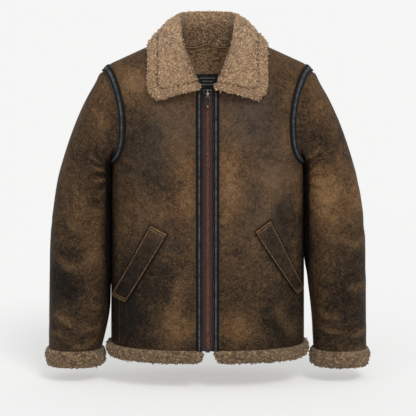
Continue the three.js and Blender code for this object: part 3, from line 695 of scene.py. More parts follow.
leather = buildLeather()
collarFur = buildFur("furCurly", linear(92, 68, 46), linear(166, 135, 103), linear(212, 181, 145))
bandFur = buildFur("furBand", linear(60, 45, 30), linear(118, 95, 68), linear(170, 142, 110))
insideFur = buildFur("furInside", linear(84, 64, 42), linear(146, 115, 80), linear(184, 151, 110))
blackLeather = buildBlackLeather()
tapeCloth = buildTape()
brass = buildMetal("agedBrass", linear(66, 48, 38), linear(128, 102, 84), 0.36)
gunmetal = buildMetal("gunmetal", linear(26, 27, 26), linear(84, 84, 80), 0.30)
nickel = buildMetal("nickel", linear(104, 100, 90), linear(176, 170, 156), 0.34)
# near-black metal for the slider's hollows: painted shade inside them
hollowShadeMetal = buildMetal("hollowShadeMetal", linear(10, 10, 10), linear(20, 20, 19), 0.6)
thread = buildThread()
labelCloth = buildLabel()
print("materials built")

# Patches: centre x z, reach x z, strength, side. The tan ones are worn skin, the dark ones darker skin with some
# painted shade, the grey ones greyer skin under painted sheen
patchTable = {
    "tan": [
        (-.046, -.305, .030, .100, .65, -1), (.048, -.300, .030, .105, .9, -1), (-.065, -.620, .038, .048,
                                                                                 .8, -1),
        (.071, -.624, .052, .040, .9, -1), (-.162, -.090, .036, .036, .8, -1), (-.246, -.455, .028, .075,
                                                                                .7, -1),
        (.224, -.313, .028, .046, .6, -1), (.326, -.340, .024, .055, .7, -1), (.150, -.300, .036, .05, .4,
                                                                               -1),
        (-.110, -.380, .04, .05, .35, -1), (.0, -.25, .09, .12, .7, 1), (-.12, -.58, .06, .06, .7, 1),
        (.262, -.335, .038, .085, .95, -1), (.236, -.150, .030, .050, .4, -1), (-.120, -.09, .05, .04, .3,
                                                                                -1),
        (.14, -.50, .05, .08, .6, 1), (.33, -.42, .03, .08, .6, 1), (-.34, -.50, .03, .09, .6, 1),
    ],
    "dark": [
        (-.130, -.240, .060, .095, .62, -1), (-.164, -.593, .050, .062, .9, -1), (.160, -.375, .046, .040,
                                                                                  .8, -1),
        (.160, -.598, .048, .056, .9, -1), (-.320, -.526, .032, .058, .9, -1), (.248, -.226, .050, .055, .8,
                                                                                -1),
        (.110, -.170, .050, .050, .5, -1), (.300, -.560, .040, .060, .5, -1), (-.250, -.250, .03, .06, .5,
                                                                               -1),
        # the long narrow entries at x .213 and -.215 are painted shade down the body's sides beside the sleeves
        (.213, -.420, .013, .150, 1.0, -1), (-.215, -.440, .015, .170, 1.2, -1), (.0, -.655, .22, .022, .45,
                                                                                  -1),
        # these two are painted shade along the sleeves' outer edges
        (-.352, -.50, .014, .16, .5, -1), (.352, -.50, .014, .16, .5, -1),
        (-.300, -.400, .060, .200, .25, -1), (.310, -.520, .050, .120, .25, -1), (.0, -.50, .10, .10, .15,
                                                                                  -1),
        (-.149, -.488, .050, .060, .7, -1), (-.185, -.600, .030, .060, .5, -1), (.150, -.470, .030, .070,
                                                                                 .4, -1),
        (-.10, -.36, .07, .10, .8, 1), (.11, -.63, .08, .05, .8, 1), (.30, -.25, .05, .07, .7, 1),
    ],
    # greyer skin under painted sheen
    "greyAndSheen": [
        (-.075, -.175, .050, .045, 1.0, -1), (.085, -.170, .060, .060, 1.0, -1), (-.130, -.090, .050, .04,
                                                                                  .5, -1),
        (.150, -.270, .04, .06, .6, -1), (-.12, -.25, .05, .06, .5, -1), (.0, -.10, .12, .05, .6, 1),
        (.110, -.370, .06, .10, .5, -1), (-.100, -.420, .05, .06, .3, -1), (.100, -.100, .05, .04, .5, -1),
    ],
}


def paintMasks(piece, wear=None, paintedShadeAndDarkTone=None):
    p = pieceCoordinates(piece)
    for name, rows in patchTable.items():
        total = np.zeros(len(p))
        for x, z, reachX, reachZ, strength, side in rows:
            facing = smoothStep(-0.03, 0.02, p[:, 1] * side)
            total += strength * facing * np.exp(-((p[:, 0] - x) / reachX) ** 2 - ((p[:,
                                                                                     2] - z) / reachZ) ** 2)
        setMask(piece, name, np.clip(total, 0, 1))
    setMask(piece, "wear", np.zeros(len(p)) if wear is None else wear)
    setMask(piece, "paintedShadeAndDarkTone", np.zeros(len(p)) if paintedShadeAndDarkTone is None else paintedShadeAndDarkTone)


weltTables = {
    "left": [(-.122, -.393), (-.085, -.412), (-.176, -.568), (-.210, -.559)],
    "right": [(.135, -.383), (.100, -.408), (.193, -.554), (.2095, -.544)],
}


def besideWelts(p):
    # 1 along the rim of each pocket welt, fading over a few millimetres: where painted shade lies beside the welts
    x, z = p[..., 0], p[..., 2]
    nearest = np.full(x.shape, 1.0)
    for corners in weltTables.values():
        for (x0, z0), (x1, z1) in zip(corners, corners[1:] + corners[:1]):
            length = (x1 - x0) ** 2 + (z1 - z0) ** 2
            t = np.clip(((x - x0) * (x1 - x0) + (z - z0) * (z1 - z0)) / length, 0, 1)
            nearest = np.minimum(nearest, np.hypot(x - x0 - t * (x1 - x0), z - z0 - t * (z1 - z0)))
    return np.exp(-(nearest / 0.0034) ** 2) * (p[..., 1] < 0)


def clothWall(name, node, grid, normals, sinkScale=1.0, creases=(), sides=(), seed=1, clearance=None):
    sink, across, down = seamSink(grid, 0.0006 if clearance is None else 0.0016)
    folds = creaseDepth(grid, creases, sides, seed) * smoothStep(0.0, 0.02,
                                                                 np.minimum(across, across[:, -1:] - across))
    shaped = grid - normals * (sink * sinkScale + folds)[..., None]
    if clearance is not None:
        near = (np.abs(shaped[..., :1]) < 0.24) & (shaped[..., 2:] < body["underarmZ"] - 0.004)
        shaped = againstBody(shaped, clearance)
        shaped = np.where(near, clearOfBody(shaped, clearance), shaped)
    piece = gridPiece(name, shaped, normals, np.stack([across, down], -1))
    flipped = not np.allclose(pieceCoordinates(piece)[0], shaped[0, 0], atol=1e-6)
    wear = np.clip(sink * sinkScale * 160 + np.clip(-folds * 300, 0, 0.6), 0, 1)
    # painted shade in the crease troughs
    paintedShadeAndDarkTone = np.clip(folds * 110 - 0.12, 0, 0.7)
    # painted shade down the body's sides and the sleeves' inner sides where they meet, and round the pocket welts,
    # with no wear there
    inner = np.abs(grid[..., 0])
    beside = smoothStep(0.226, 0.2165, inner) if clearance is not None else smoothStep(0.2035, 0.2095, inner)
    beside = beside * smoothStep(-0.250, -0.268, grid[..., 2]) * smoothStep(-0.66, -0.50, grid[..., 2])
    paintedShadeAndDarkTone, wear = np.maximum(paintedShadeAndDarkTone, 0.9 * beside), wear * (1 - beside)
    if clearance is None:
        paintedShadeAndDarkTone = np.maximum(paintedShadeAndDarkTone, 0.85 * besideWelts(grid))
    paintMasks(piece, wear[:, ::-1] if flipped else wear, paintedShadeAndDarkTone[:, ::-1] if flipped else paintedShadeAndDarkTone)
    piece.data.materials.append(leather)
    piece.data.materials.append(insideFur)
    setMask(piece, "tip", np.full(len(piece.data.vertices), 0.45))
    setMask(piece, "lock", np.full(len(piece.data.vertices), 0.5))
    setMask(piece, "shade", np.full(len(piece.data.vertices), 0.3))
    applyModifier(piece, "SOLIDIFY", thickness=body["thickness"], offset=-1.0, use_even_offset=False,
                  material_offset=1, material_offset_rim=1)
    shadeSmooth(piece, 60)
    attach(piece, "coat")
    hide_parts(node)
    return piece


bodySides = [row[6] for row in creaseTable]
bodyCreases = [row[:6] for row in creaseTable]
levels = panelLevels(84, 46)
rightFront = frontGrid(50, levels)
for name, grid in (("right", rightFront), ("left", mirroredX(rightFront))):
    clothWall(f"leather_front_{name}", f"front_{name}", grid, bodyNormals(grid), 1.0,
                                  bodyCreases, bodySides, 3)
backPiece = clothWall("leather_back", "back", backGrid(48, levels), bodyNormals(backGrid(48, levels)), 1.0,
                      bodyCreases, bodySides, 4)
print("body panels made")


def buildSleeve(part, start, end, side):
    leftward = side == "left"
    turns = start + (end - start) * denseEnds(80 if part == "top" else 30)
    rows = denseEnds(150, (0.0, 0.002, 0.005, 0.009))
    grid = sleeveGrid(turns, rows, leftward)
    middle = sleeveGrid(np.linspace(0, 2, 40, endpoint=False), rows, leftward).mean(1)
    outward = gridNormals(grid)
    outward = outward * np.sign((outward * (grid - middle[:, None])).sum())
    sign = -1 if leftward else 1
    front = [(sign * a, b, sign * c, d, w, h) for a, b, c, d, w, h in sleeveCreases]
    behind = [(a, b - 0.02, c, d - 0.01, w * 1.3, h * 0.8) for a, b, c, d, w, h in front]
    if leftward:
        grid, outward = mirroredX(grid), mirroredX(outward)
    return clothWall(f"leather_sleeve_{part}_{side}", f"sleeve_{part}_{side}", grid, outward, 0.7,
                     front + behind,
                     [-1] * len(front) + [1] * len(behind), 11 if leftward else 12, sleeve["clearance"])


for side in ("right", "left"):
    buildSleeve("top", -sleeve["backSeam"], sleeve["frontSeam"], side)
    buildSleeve("under", sleeve["frontSeam"], 2 - sleeve["backSeam"], side)
print("sleeves made")


# Fur
def wavered(p, reach=0.0016, wave=2 * math.pi / 0.0125):
    # cells measured in this bent space curl like locks instead of lying like cobbles
    x, y, z = (p * wave).T
    return p + reach * np.stack([np.sin(y + 1.3 * z + 1), np.sin(1.1 * z + 0.8 * x + 2),
                                 np.sin(1.2 * x - 0.7 * y)], -1)


def nearestTwo(points, seeds):
    tree = kdtree.KDTree(len(seeds))
    for i, s in enumerate(seeds):
        tree.insert(s, i)
    tree.balance()
    found = [tree.find_n(p, 2) for p in points]
    return (np.array([f[0][2] for f in found]), np.array([f[1][2] for f in found]),
            np.array([f[0][1] for f in found]))


def curlTemplate(sides=3, rings=5):
    # one small bent lock, a few dozen faces
    turn = np.linspace(0, 1.45 * math.pi, rings)
    centre = np.stack([0.5 * (1 - np.cos(turn)), 0.16 * turn, 0.62 * np.sin(turn) + 0.1 * turn], -1)
    thick = 0.34 * np.sin(np.linspace(0.35, 2.75, rings))
    points = []
    for i in range(rings):
        along = unit(centre[min(i + 1, rings - 1)] - centre[max(i - 1, 0)])
        side = unit(np.cross(along, [0, 1, 0.01]))
        up = np.cross(side, along)
        for k in range(sides):
            a = 2 * math.pi * k / sides
            points.append(centre[i] + thick[i] * (math.cos(a) * side + math.sin(a) * up))
    faces = [[i * sides + k, i * sides + (k + 1) % sides, (i + 1) * sides + (k + 1) % sides,
              (i + 1) * sides + k]
             for i in range(rings - 1) for k in range(sides)]
    faces += [list(range(sides))[::-1], [(rings - 1) * sides + k for k in range(sides)]]
    return np.array(points), faces


def scatterCurls(name, places, outward, size, tips, locks, shades, seed):
    chance = np.random.default_rng(seed)
    base, faces = curlTemplate()
    count = len(places)
    spin = chance.uniform(0, 2 * math.pi, count)
    helper = np.where(np.abs(outward[:, 2:3]) < 0.9, [[0, 0, 1.0]], [[1.0, 0, 0]])
    side = unit(np.cross(helper, outward))
    other = np.cross(outward, side)
    first = side * np.cos(spin)[:, None] + other * np.sin(spin)[:, None]
    second = np.cross(outward, first)
    scale = size * chance.uniform(0.7, 1.25, count)
    local = base[None] * scale[:, None, None]
    points = (places[:, None] + local[..., :1] * first[:, None] + local[..., 1:2] * second[:, None]
              + (local[..., 2:] - 0.15 * size) * outward[:, None])
    mesh = bpy.data.meshes.new(name)
    allFaces = [[v + i * len(base) for v in f] for i in range(count) for f in faces]
    mesh.from_pydata(points.reshape(-1, 3).tolist(), [], allFaces)
    piece = bpy.data.objects.new(name, mesh)
    bpy.context.collection.objects.link(piece)
    # each curl is painted lighter towards its top: painted light
    rise = np.clip(base[:, 2] / base[:, 2].max(), 0, 1)
    setMask(piece, "tip", np.clip(0.25 + 0.65 * rise[None] + (tips[:, None] - 0.5) * 0.4, 0, 1))
    setMask(piece, "lock", np.repeat(locks, len(base)))
    setMask(piece, "shade", np.repeat(shades, len(base)))
    shadeSmooth(piece, 80)
    return piece


def furRoll(name, loops, ringed, material, look, seed, shade=None, lift=None, hold=None):
    # loops: sections by points round each, closed round the section; ringed closes the run as well
    chance = np.random.default_rng(seed)
    lock, height = look["lock"], look["height"]
    across = np.roll(loops, -1, 1) - np.roll(loops, 1, 1)
    along = (np.roll(loops, -1, 0) - np.roll(loops, 1, 0)) if ringed else np.gradient(loops, axis=0)
    outward = unit(np.cross(across, along))
    centre = loops.mean(1, keepdims=True)
    if (outward * (loops - centre)).sum() < 0:
        outward = -outward
    flat, facing = loops.reshape(-1, 3), outward.reshape(-1, 3)
    shade = np.zeros(len(flat)) if shade is None else np.broadcast_to(shade, loops.shape[:2]).reshape(-1)
    lift = np.ones(len(flat)) if lift is None else np.broadcast_to(lift, loops.shape[:2]).reshape(-1)
    hold = np.ones(len(flat)) if hold is None else np.broadcast_to(hold, loops.shape[:2]).reshape(-1)
    cell = np.linalg.norm(across, axis=2).mean() / 2 * np.linalg.norm(along,
                                                                      axis=2).mean() / (2 if ringed else 1)
    seedCount = int(len(flat) * cell / (lock * lock * 0.85))
    chosen = chance.choice(len(flat), seedCount, replace=False)
    seeds = flat[chosen] + chance.normal(0, lock * 0.15, (seedCount, 3))
    d1, d2, owner = nearestTwo(wavered(flat), wavered(seeds))
    phase = chance.uniform(0, 2 * math.pi, seedCount)
    tall = chance.uniform(0.6, 1.25, seedCount)
    offset = flat - seeds[owner]
    angle = np.arctan2(offset[:, 2] + offset[:, 1] * 0.6, offset[:, 0] + offset[:, 1] * 0.8)
    swirl = np.sin(angle + d1 / lock * 9 + phase[owner])
    dome = np.clip(1 - (d1 / (lock * 0.78)) ** 2, 0, 1)
    gap = smoothStep(0.0, lock * 0.4, d2 - d1)
    rise = dome * (0.72 + 0.28 * swirl) * tall[owner] * (0.25 + 0.75 * gap)
    shaped = (flat + facing * (height * hold * (rise * lift - look["inset"]))[:, None]).reshape(loops.shape)
    closed = np.concatenate([shaped, shaped[:, :1]], 1)
    outClosed = np.concatenate([outward, outward[:, :1]], 1)
    if ringed:
        closed = np.concatenate([closed, closed[:1]], 0)
        outClosed = np.concatenate([outClosed, outClosed[:1]], 0)
    piece = gridPiece(name, closed, outClosed)
    turned = not np.allclose(pieceCoordinates(piece)[0], closed[0, 0], atol=1e-7)

    def wrapped(values):
        v = values.reshape(loops.shape[:2])
        v = np.concatenate([v, v[:, :1]], 1)
        v = np.concatenate([v, v[:1]], 0) if ringed else v
        return v[:, ::-1] if turned else v

    # tip: painted light on the raised locks, painted shade in the gaps between them
    tip = np.clip(rise * (0.25 + 0.75 * gap), 0, 1)
    setMask(piece, "tip", wrapped(tip))
    setMask(piece, "lock", wrapped(chance.uniform(0, 1, seedCount)[owner]))
    setMask(piece, "shade", wrapped(shade))
    inEditMode(piece, lambda: bpy.ops.mesh.select_all(action="SELECT"),
               lambda: bpy.ops.mesh.remove_doubles(threshold=1e-6),
               lambda: bpy.ops.mesh.select_all(action="DESELECT"),
               lambda: bpy.ops.mesh.select_non_manifold(),
               lambda: bpy.ops.mesh.fill_holes(sides=0) if not ringed else None)
    piece.data.materials.append(material)
    shadeSmooth(piece, 80)
    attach(piece, "coat")
    picks = chance.choice(np.nonzero(hold > 0.9)[0], look["curls"], replace=False)
    surface = shaped.reshape(-1, 3)
    extra = scatterCurls(f"{name}_curls", surface[picks], facing[picks], look["curlSize"], tip[picks],
                         chance.uniform(0, 1, len(picks)), shade[picks], seed + 50)
    extra.data.materials.append(material)
    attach(extra, "coat")
    return piece, extra


def roundedEnds(loops, ends, steps=4):
    # the sections at an open end close in on their own middle, so the roll ends in a soft round
    loops = loops.copy()
    for end in ends:
        for k in range(steps):
            index = k if end == "first" else len(loops) - 1 - k
            size = math.sqrt(1 - (1 - (k + 0.8) / (steps + 0.8)) ** 2)
            centre = loops[index].mean(0)
            loops[index] = centre + (loops[index] - centre) * size
    return loops


# Collar sections: place on the neck seam, roll x y z, edge x y z
collarTable = [
    (0, .010, -.131, -.101, .1075, -.124, -.127), (.3, .026, -.110, -.068, .1275, -.112, -.103),
    (.6, .039, -.084, -.036, .129, -.092, -.058), (.85, .050, -.052, -.004, .128, -.053, -.026),
    (1, .057, -.008, .033, .1275, 0, -.005), (1.25, .060, .034, .051, .120, .057, -.014),
    (1.6, .042, .068, .056, .078, .092, -.030), (2, 0, .083, .057, 0, .110, -.036),
    (2.4, -.042, .068, .056, -.078, .092, -.030),
]
collar = {"bulge": 0.011, "thickness": 0.012, "neckGap": 0.002, "firstSeam": 0.07, "seamInset": 0.024,
          "roundStations": 7,
          "topCount": 112, "underCount": 34}


def neckSeam(seam):
    if seam <= 1:
        level = body["frontNeckLevel"] + (1 - body["frontNeckLevel"]) * seam
        return bodyPoints(smoothRead(body["neckline"], level), level, -1)
    f = neckFraction * max(0.0, 2 - seam)
    return bodyPoints(body["shoulderX"] * spread(f), backTop(f), 1)


def smoothCurve(points, count):
    # centripetal Catmull-Rom through the points, evenly read
    p = np.array(points)
    p = np.vstack([2 * p[0] - p[1], p, 2 * p[-1] - p[-2]])
    result = []
    for u in np.linspace(0, len(points) - 1, count):
        i = min(int(u), len(points) - 2)
        q = p[i:i + 4]
        knots = np.concatenate([[0], np.cumsum(np.maximum(np.linalg.norm(np.diff(q, axis=0), axis=1),
                                                          1e-6) ** 0.5)])
        t = knots[1] + (u - i) * (knots[2] - knots[1])
        a = [q[k] * (knots[k + 1] - t) / (knots[k + 1] - knots[k]) + q[k + 1] * (t - knots[k]) / (knots[k + 1] - knots[k])
             for k in range(3)]
        b = [a[k] * (knots[k + 2] - t) / (knots[k + 2] - knots[k]) + a[k + 1] * (t - knots[k]) / (knots[k + 2] - knots[k])
             for k in range(2)]
        result.append(b[0] * (knots[2] - t) / (knots[2] - knots[1]) + b[1] * (t - knots[1]) / (knots[2] - knots[1]))
    return np.array(result)


def evenly(points, count):
    steps = np.concatenate([[0], np.cumsum(np.linalg.norm(np.diff(points, axis=0), axis=1))])
    wanted = np.linspace(0, steps[-1], count)
    return np.stack([np.interp(wanted, steps, points[:, k]) for k in range(3)], -1)


def collarSection(seam, topCount, underCount):
    read = [float(smoothRead([(r[0], r[k]) for r in collarTable], seam)) for k in range(1, 7)]
    roll, edge = np.array(read[:3]), np.array(read[3:])
    at = max(seam, collar["firstSeam"])
    foot = neckSeam(at)
    along = unit(neckSeam(min(2.0, at + 0.02)) - neckSeam(at - 0.02))
    out = bodyNormals(foot)
    outerFoot = foot + unit(np.cross(out, along)) * collar["neckGap"]
    innerFoot = outerFoot - out * body["thickness"]
    fall = edge - roll
    bulge = bodyNormals((roll + edge) / 2)
    bulge = unit(bulge - fall * np.dot(bulge, fall) / np.dot(fall, fall))
    crest = roll + fall * 0.25 + bulge * collar["bulge"]
    middle = roll + fall * 0.62 + bulge * (collar["bulge"] - 0.002)
    throat = ((innerFoot * 0.4 + roll * 0.6) + (crest * 0.6 + middle * 0.4)) / 2
    underMiddle = middle - bulge * collar["thickness"]
    underEdge = edge - bulge * collar["thickness"] * 0.7
    clearance = 0.005 if foot[0] < 0.034 else 0.002
    top = smoothCurve([innerFoot, roll, crest, middle, edge], 41)
    under = smoothCurve([outerFoot, throat, underMiddle, underEdge], 41)
    top[20:] = clearOfBody(top[20:], clearance + collar["thickness"] * 0.7)
    under[8:] = clearOfBody(under[8:], clearance)
    return evenly(top, topCount), evenly(under, underCount)


def buildCollar():
    stations, topCount, underCount = 225, collar["topCount"], collar["underCount"]
    loops = []
    for station, seam in enumerate(np.linspace(0, 2, stations)):
        top, under = collarSection(float(seam), topCount, underCount)
        # the front end is rounded off: its two faces close in on the line between them
        open_ = math.sqrt(max(0.0, 1 - (1 - min(1, (station + 0.35) / collar["roundStations"])) ** 2))
        topMiddle = (top + evenly(under, topCount)) / 2
        underMiddle = (under + evenly(top, underCount)) / 2
        loops.append(np.vstack([topMiddle + (top - topMiddle) * open_,
                                (underMiddle + (under - underMiddle) * open_)[::-1]]))
    half = np.array(loops)
    whole = np.concatenate([half, mirroredX(half[-2::-1])])
    # the seam runs one width in from the outer edge and from the two front ends alike
    toEdge = np.zeros(whole.shape[:2])
    steps = np.linalg.norm(np.diff(whole[:, :topCount], axis=1), axis=2)
    toEdge[:, :topCount - 1] = np.cumsum(steps[:, ::-1], 1)[:, ::-1]
    reach = np.cumsum(np.linalg.norm(np.diff(whole, axis=0), axis=2), 0)
    toStart = np.vstack([np.zeros(whole.shape[1]), reach])
    toEnds = np.minimum(toStart, toStart[-1:] - toStart)
    blend = 0.006
    inset = -blend * np.log(np.exp(-toEdge / blend) + np.exp(-toEnds / blend))
    inset[:, topCount:] = 0
    onTop = (np.arange(topCount + underCount) < topCount)[None]
    seam = np.exp(-((inset - collar["seamInset"]) / 0.0019) ** 2) * onTop
    groove = 0.0030 * seam
    across = np.roll(whole, -1, 1) - np.roll(whole, 1, 1)
    outward = unit(np.cross(across, np.gradient(whole, axis=0)))
    if (outward * (whole - whole.mean(1, keepdims=True))).sum() < 0:
        outward = -outward
    whole = whole - outward * groove[..., None]
    beyond = smoothStep(collar["seamInset"] + 0.002, collar["seamInset"] - 0.003, inset)
    return whole, seam, beyond


collarLook = {"lock": 0.0054, "height": 0.0032, "inset": 0.60, "curls": 2000, "curlSize": 0.0024}
collarAlong = np.linspace(0, 1, collar["topCount"])
collarShade = np.concatenate([1 - smoothStep(0.16, 0.36, collarAlong), np.full(collar["underCount"], 0.6)])
collarLoops, collarSeam, collarBeyond = buildCollar()
collarPiece, collarCurls = furRoll("fur_collar", collarLoops, False, collarFur, collarLook, 21,
                                   collarShade[None] + 1.1 * collarSeam, 0.62 + 0.60 * collarBeyond, 1 - 0.7 * collarSeam)
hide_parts("collar", "collar_edge")
print("collar made")

furBand = {"proud": 0.010, "hemHeight": 0.028, "cuffHeight": 0.037, "gap": 0.0004}
bandLook = {"lock": 0.0058, "height": 0.0036, "inset": 0.45, "curlSize": 0.0027}
bandSection = {
    "outer": [(0, 0), (.55, .03), (.92, .14), (1.05, .4), (.95, .7), (.5, .93), (-.1, 1)],
    "inner": [(-.4, .97), (-.65, .88), (-.9, .65), (-.95, .35), (-.8, .1), (-.5, .03), (-.2, 0)],
}


def bandLoop(height, count):
    # the seam edge of the roll laps over the leather's edge, so that no light shows between them
    corners = [(a * furBand["proud"], b * height) for a, b in bandSection["outer"] + bandSection["inner"]]
    corners[0] = (0.0004, -0.0014)
    closed = np.array([(a, b, 0) for a, b in corners + corners[:1]])
    return evenly(closed, count + 1)[:-1, :2]


def hemLoops(side, xs, leans, endLean):
    section = bandLoop(furBand["hemHeight"], 46)
    loops = []
    for x, lean in zip(xs, leans):
        down = section[:, 1]
        base = bodyPoints(x + lean * endLean * down / furBand["hemHeight"], np.full(len(down), -1.0), side)
        point = base + bodyNormals(base) * section[:, :1]
        point[:, 1] = side * np.maximum(side * point[:, 1], 0.0002)
        point[:, 2] = body["hemZ"] - furBand["gap"] - down
        loops.append(point)
    return np.array(loops)


def buildHem():
    pieces = {}
    hold = smoothStep(0.0004, 0.0040, bandLoop(furBand["hemHeight"], 46)[:, 1])[None]
    wide = float(halfWidth(np.array(body["hemZ"])))
    for name, start, lean in (("left", 0.0054, 0.010), ("right", 0.0088, 0.016)):
        t = np.linspace(0, 1, 150)
        first = unspread(start / wide)
        loops = hemLoops(-1, wide * spread(first + (1 - first) * t), (1 - t) ** 6, lean)
        loops = mirroredX(loops) if name == "left" else loops
        pieces[name] = furRoll(f"fur_hem_front_{name}", roundedEnds(loops, ["first"]), False, bandFur,
                               dict(bandLook, curls=600), 31, hold=hold)
        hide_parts(f"hem_fur_front_{name}")
    f = np.linspace(-1, 1, 290)
    loops = hemLoops(1, np.sign(f) * wide * spread(np.abs(f)), 0 * f, 0)
    pieces["back"] = furRoll("fur_hem_back", loops, False, bandFur, dict(bandLook, curls=1100), 32, hold=hold)
    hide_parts("hem_fur_back")
    return pieces


buildHem()


def buildCuffs():
    turns = np.linspace(0, 2, 190, endpoint=False)
    wrist = sleeveRing(sleeveTable[-1], turns)
    section = bandLoop(furBand["cuffHeight"], 54)
    hold = smoothStep(0.0004, 0.0040, section[:, 1])[None]
    round_ = np.roll(wrist, -1, 0) - np.roll(wrist, 1, 0)
    out = unit(np.stack([round_[:, 1], -round_[:, 0], 0 * round_[:, 0]], -1))
    middleX = (sleeveTable[-1][0] + sleeveTable[-1][2]) / 2
    out *= np.sign((out * (wrist - [middleX, 0, 0])).sum(1))[:, None]
    loops = wrist[:, None] + out[:, None] * section[None, :, :1] * 0.8
    loops[..., 2] -= furBand["gap"] + section[None, :, 1]
    pieces = {}
    for name in ("right", "left"):
        shape = mirroredX(loops) if name == "left" else loops
        pieces[name] = furRoll(f"fur_cuff_{name}", shape, True, bandFur, dict(bandLook, curls=600), 41,
                               hold=hold)
        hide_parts(f"cuff_fur_{name}")
    return pieces


buildCuffs()
print("fur bands made")


# Inside of the neck: curly fleece on the back panel's inner face, with the label over it
def buildNeckFleece():
    x = np.linspace(-0.105, 0.105, 130)
    z = np.linspace(-0.150, -0.020, 84)
    gx, gz = np.meshgrid(x, z)
    top = heightAt(gx, backTop(unspread(np.minimum(np.abs(gx) / body["shoulderX"], 1))))
    gz = np.minimum(gz, top - 0.004)
    base = bodyPoints(gx, levelAt(gx, gz), 1)
    out = -bodyNormals(base)
    chance = np.random.default_rng(61)
    flat = (base + out * (body["thickness"] + 0.0002)).reshape(-1, 3)
    seeds = flat[chance.choice(len(flat), 900, replace=False)]
    d1, d2, owner = nearestTwo(flat, seeds)
    dome = np.clip(1 - (d1 / 0.0045) ** 2, 0, 1) * (0.4 + 0.6 * smoothStep(0, 0.002, d2 - d1))
    rise = 0.0016 * dome * chance.uniform(0.6, 1.2, len(seeds))[owner]
    shaped = (flat + out.reshape(-1, 3) * rise[:, None]).reshape(base.shape)
    piece = gridPiece("fleece_neck", shaped, out)
    flipped = not np.allclose(pieceCoordinates(piece)[0], shaped[0, 0], atol=1e-7)
    # painted light on the domes, painted shade between them
    mask = np.clip(dome * 0.8 + 0.1, 0, 1).reshape(gx.shape)
    setMask(piece, "tip", mask[:, ::-1] if flipped else mask)
    setMask(piece, "lock", chance.uniform(0, 1, len(flat)))
    setMask(piece, "shade", np.zeros(len(flat)))
    piece.data.materials.append(insideFur)
    shadeSmooth(piece, 80)
    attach(piece, "coat")
    return piece


buildNeckFleece()


def patchGrid(corners, side, rows, columns, lift):
    (x0, z0), (x1, z1), (x2, z2), (x3, z3) = corners
    down, across = np.meshgrid(np.linspace(0, 1, rows), np.linspace(0, 1, columns), indexing="ij")
    x = (x0 * (1 - across) + x1 * across) * (1 - down) + (x3 * (1 - across) + x2 * across) * down
    z = (z0 * (1 - across) + z1 * across) * (1 - down) + (z3 * (1 - across) + z2 * across) * down
    base = bodyPoints(x, levelAt(x, z), side)
    out = bodyNormals(base)
    return base + out * lift, out


def buildLabel():
    place, out = patchGrid([(-.027, -.082), (.027, -.082), (.027, -.124), (-.027, -.124)], 1, 40, 50,
                           -body["thickness"] - 0.0024)
    piece = gridPiece("label_neck", place, -out, np.stack(np.meshgrid(np.linspace(0, .054, 50),
                                                                     np.linspace(0, .042, 40)), -1))
    p = pieceCoordinates(piece)
    bars = np.zeros(len(p))
    for z, reach in ((-.093, .017), (-.101, .012), (-.108, .015)):
        bars = np.maximum(bars, (np.abs(p[:, 2] - z) < 0.0011) * (np.abs(p[:, 0]) < reach) * 0.85)
    setMask(piece, "bar", bars)
    piece.data.materials.append(labelCloth)
    applyModifier(piece, "SOLIDIFY", thickness=0.0012, offset=-1.0, use_even_offset=False)
    shadeSmooth(piece, 40)
    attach(piece, "coat")
    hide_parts("neck_label")
    return piece


buildLabel()


# Stitches
def stitchTemplate():
    deselectAll()
    bpy.ops.mesh.primitive_uv_sphere_add(segments=6, ring_count=4, radius=1)
    ball = bpy.context.object
    points = pieceCoordinates(ball) * np.array([0.5, 0.5, 1.0])
    faces = [list(p.vertices) for p in ball.data.polygons]
    bpy.data.objects.remove(ball)
    return points, faces


def stitchRun(name, lines, spacing, length, radius):
    base, faces = stitchTemplate()
    places, alongs, outs = [], [], []
    for path, out in lines:
        steps = np.concatenate([[0], np.cumsum(np.linalg.norm(np.diff(path, axis=0), axis=1))])
        wanted = np.arange(spacing / 2, steps[-1], spacing)
        at = np.stack([np.interp(wanted, steps, path[:, k]) for k in range(3)], -1)
        ahead = np.stack([np.interp(wanted + 1e-3, steps, path[:, k]) for k in range(3)], -1)
        behind = np.stack([np.interp(wanted - 1e-3, steps, path[:, k]) for k in range(3)], -1)
        places.append(at)
        alongs.append(unit(ahead - behind))
        outs.append(unit(np.stack([np.interp(wanted, steps, out[:, k]) for k in range(3)], -1)))
    places, alongs, outs = np.concatenate(places), np.concatenate(alongs), np.concatenate(outs)
    third = np.cross(outs, alongs)
    points = (places[:, None] + base[None, :, :1] * radius * 2 * third[:, None]
              + base[None, :, 1:2] * radius * 1.5 * outs[:, None] + base[None, :,
                                                                         2:] * length / 2 * alongs[:, None])
    mesh = bpy.data.meshes.new(name)
    mesh.from_pydata(points.reshape(-1, 3).tolist(), [],
                     [[v + i * len(base) for v in f] for i in range(len(places)) for f in faces])
    piece = bpy.data.objects.new(name, mesh)
    bpy.context.collection.objects.link(piece)
    piece.data.materials.append(thread)
    shadeSmooth(piece, 80)
    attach(piece, "coat")
    return piece


welt = {"size": (0.042, 0.177), "thickness": 0.0034, "lift": 0.0006, "sideStitch": (0.0046,),
        "endStitch": (0.0050, 0.0110)}


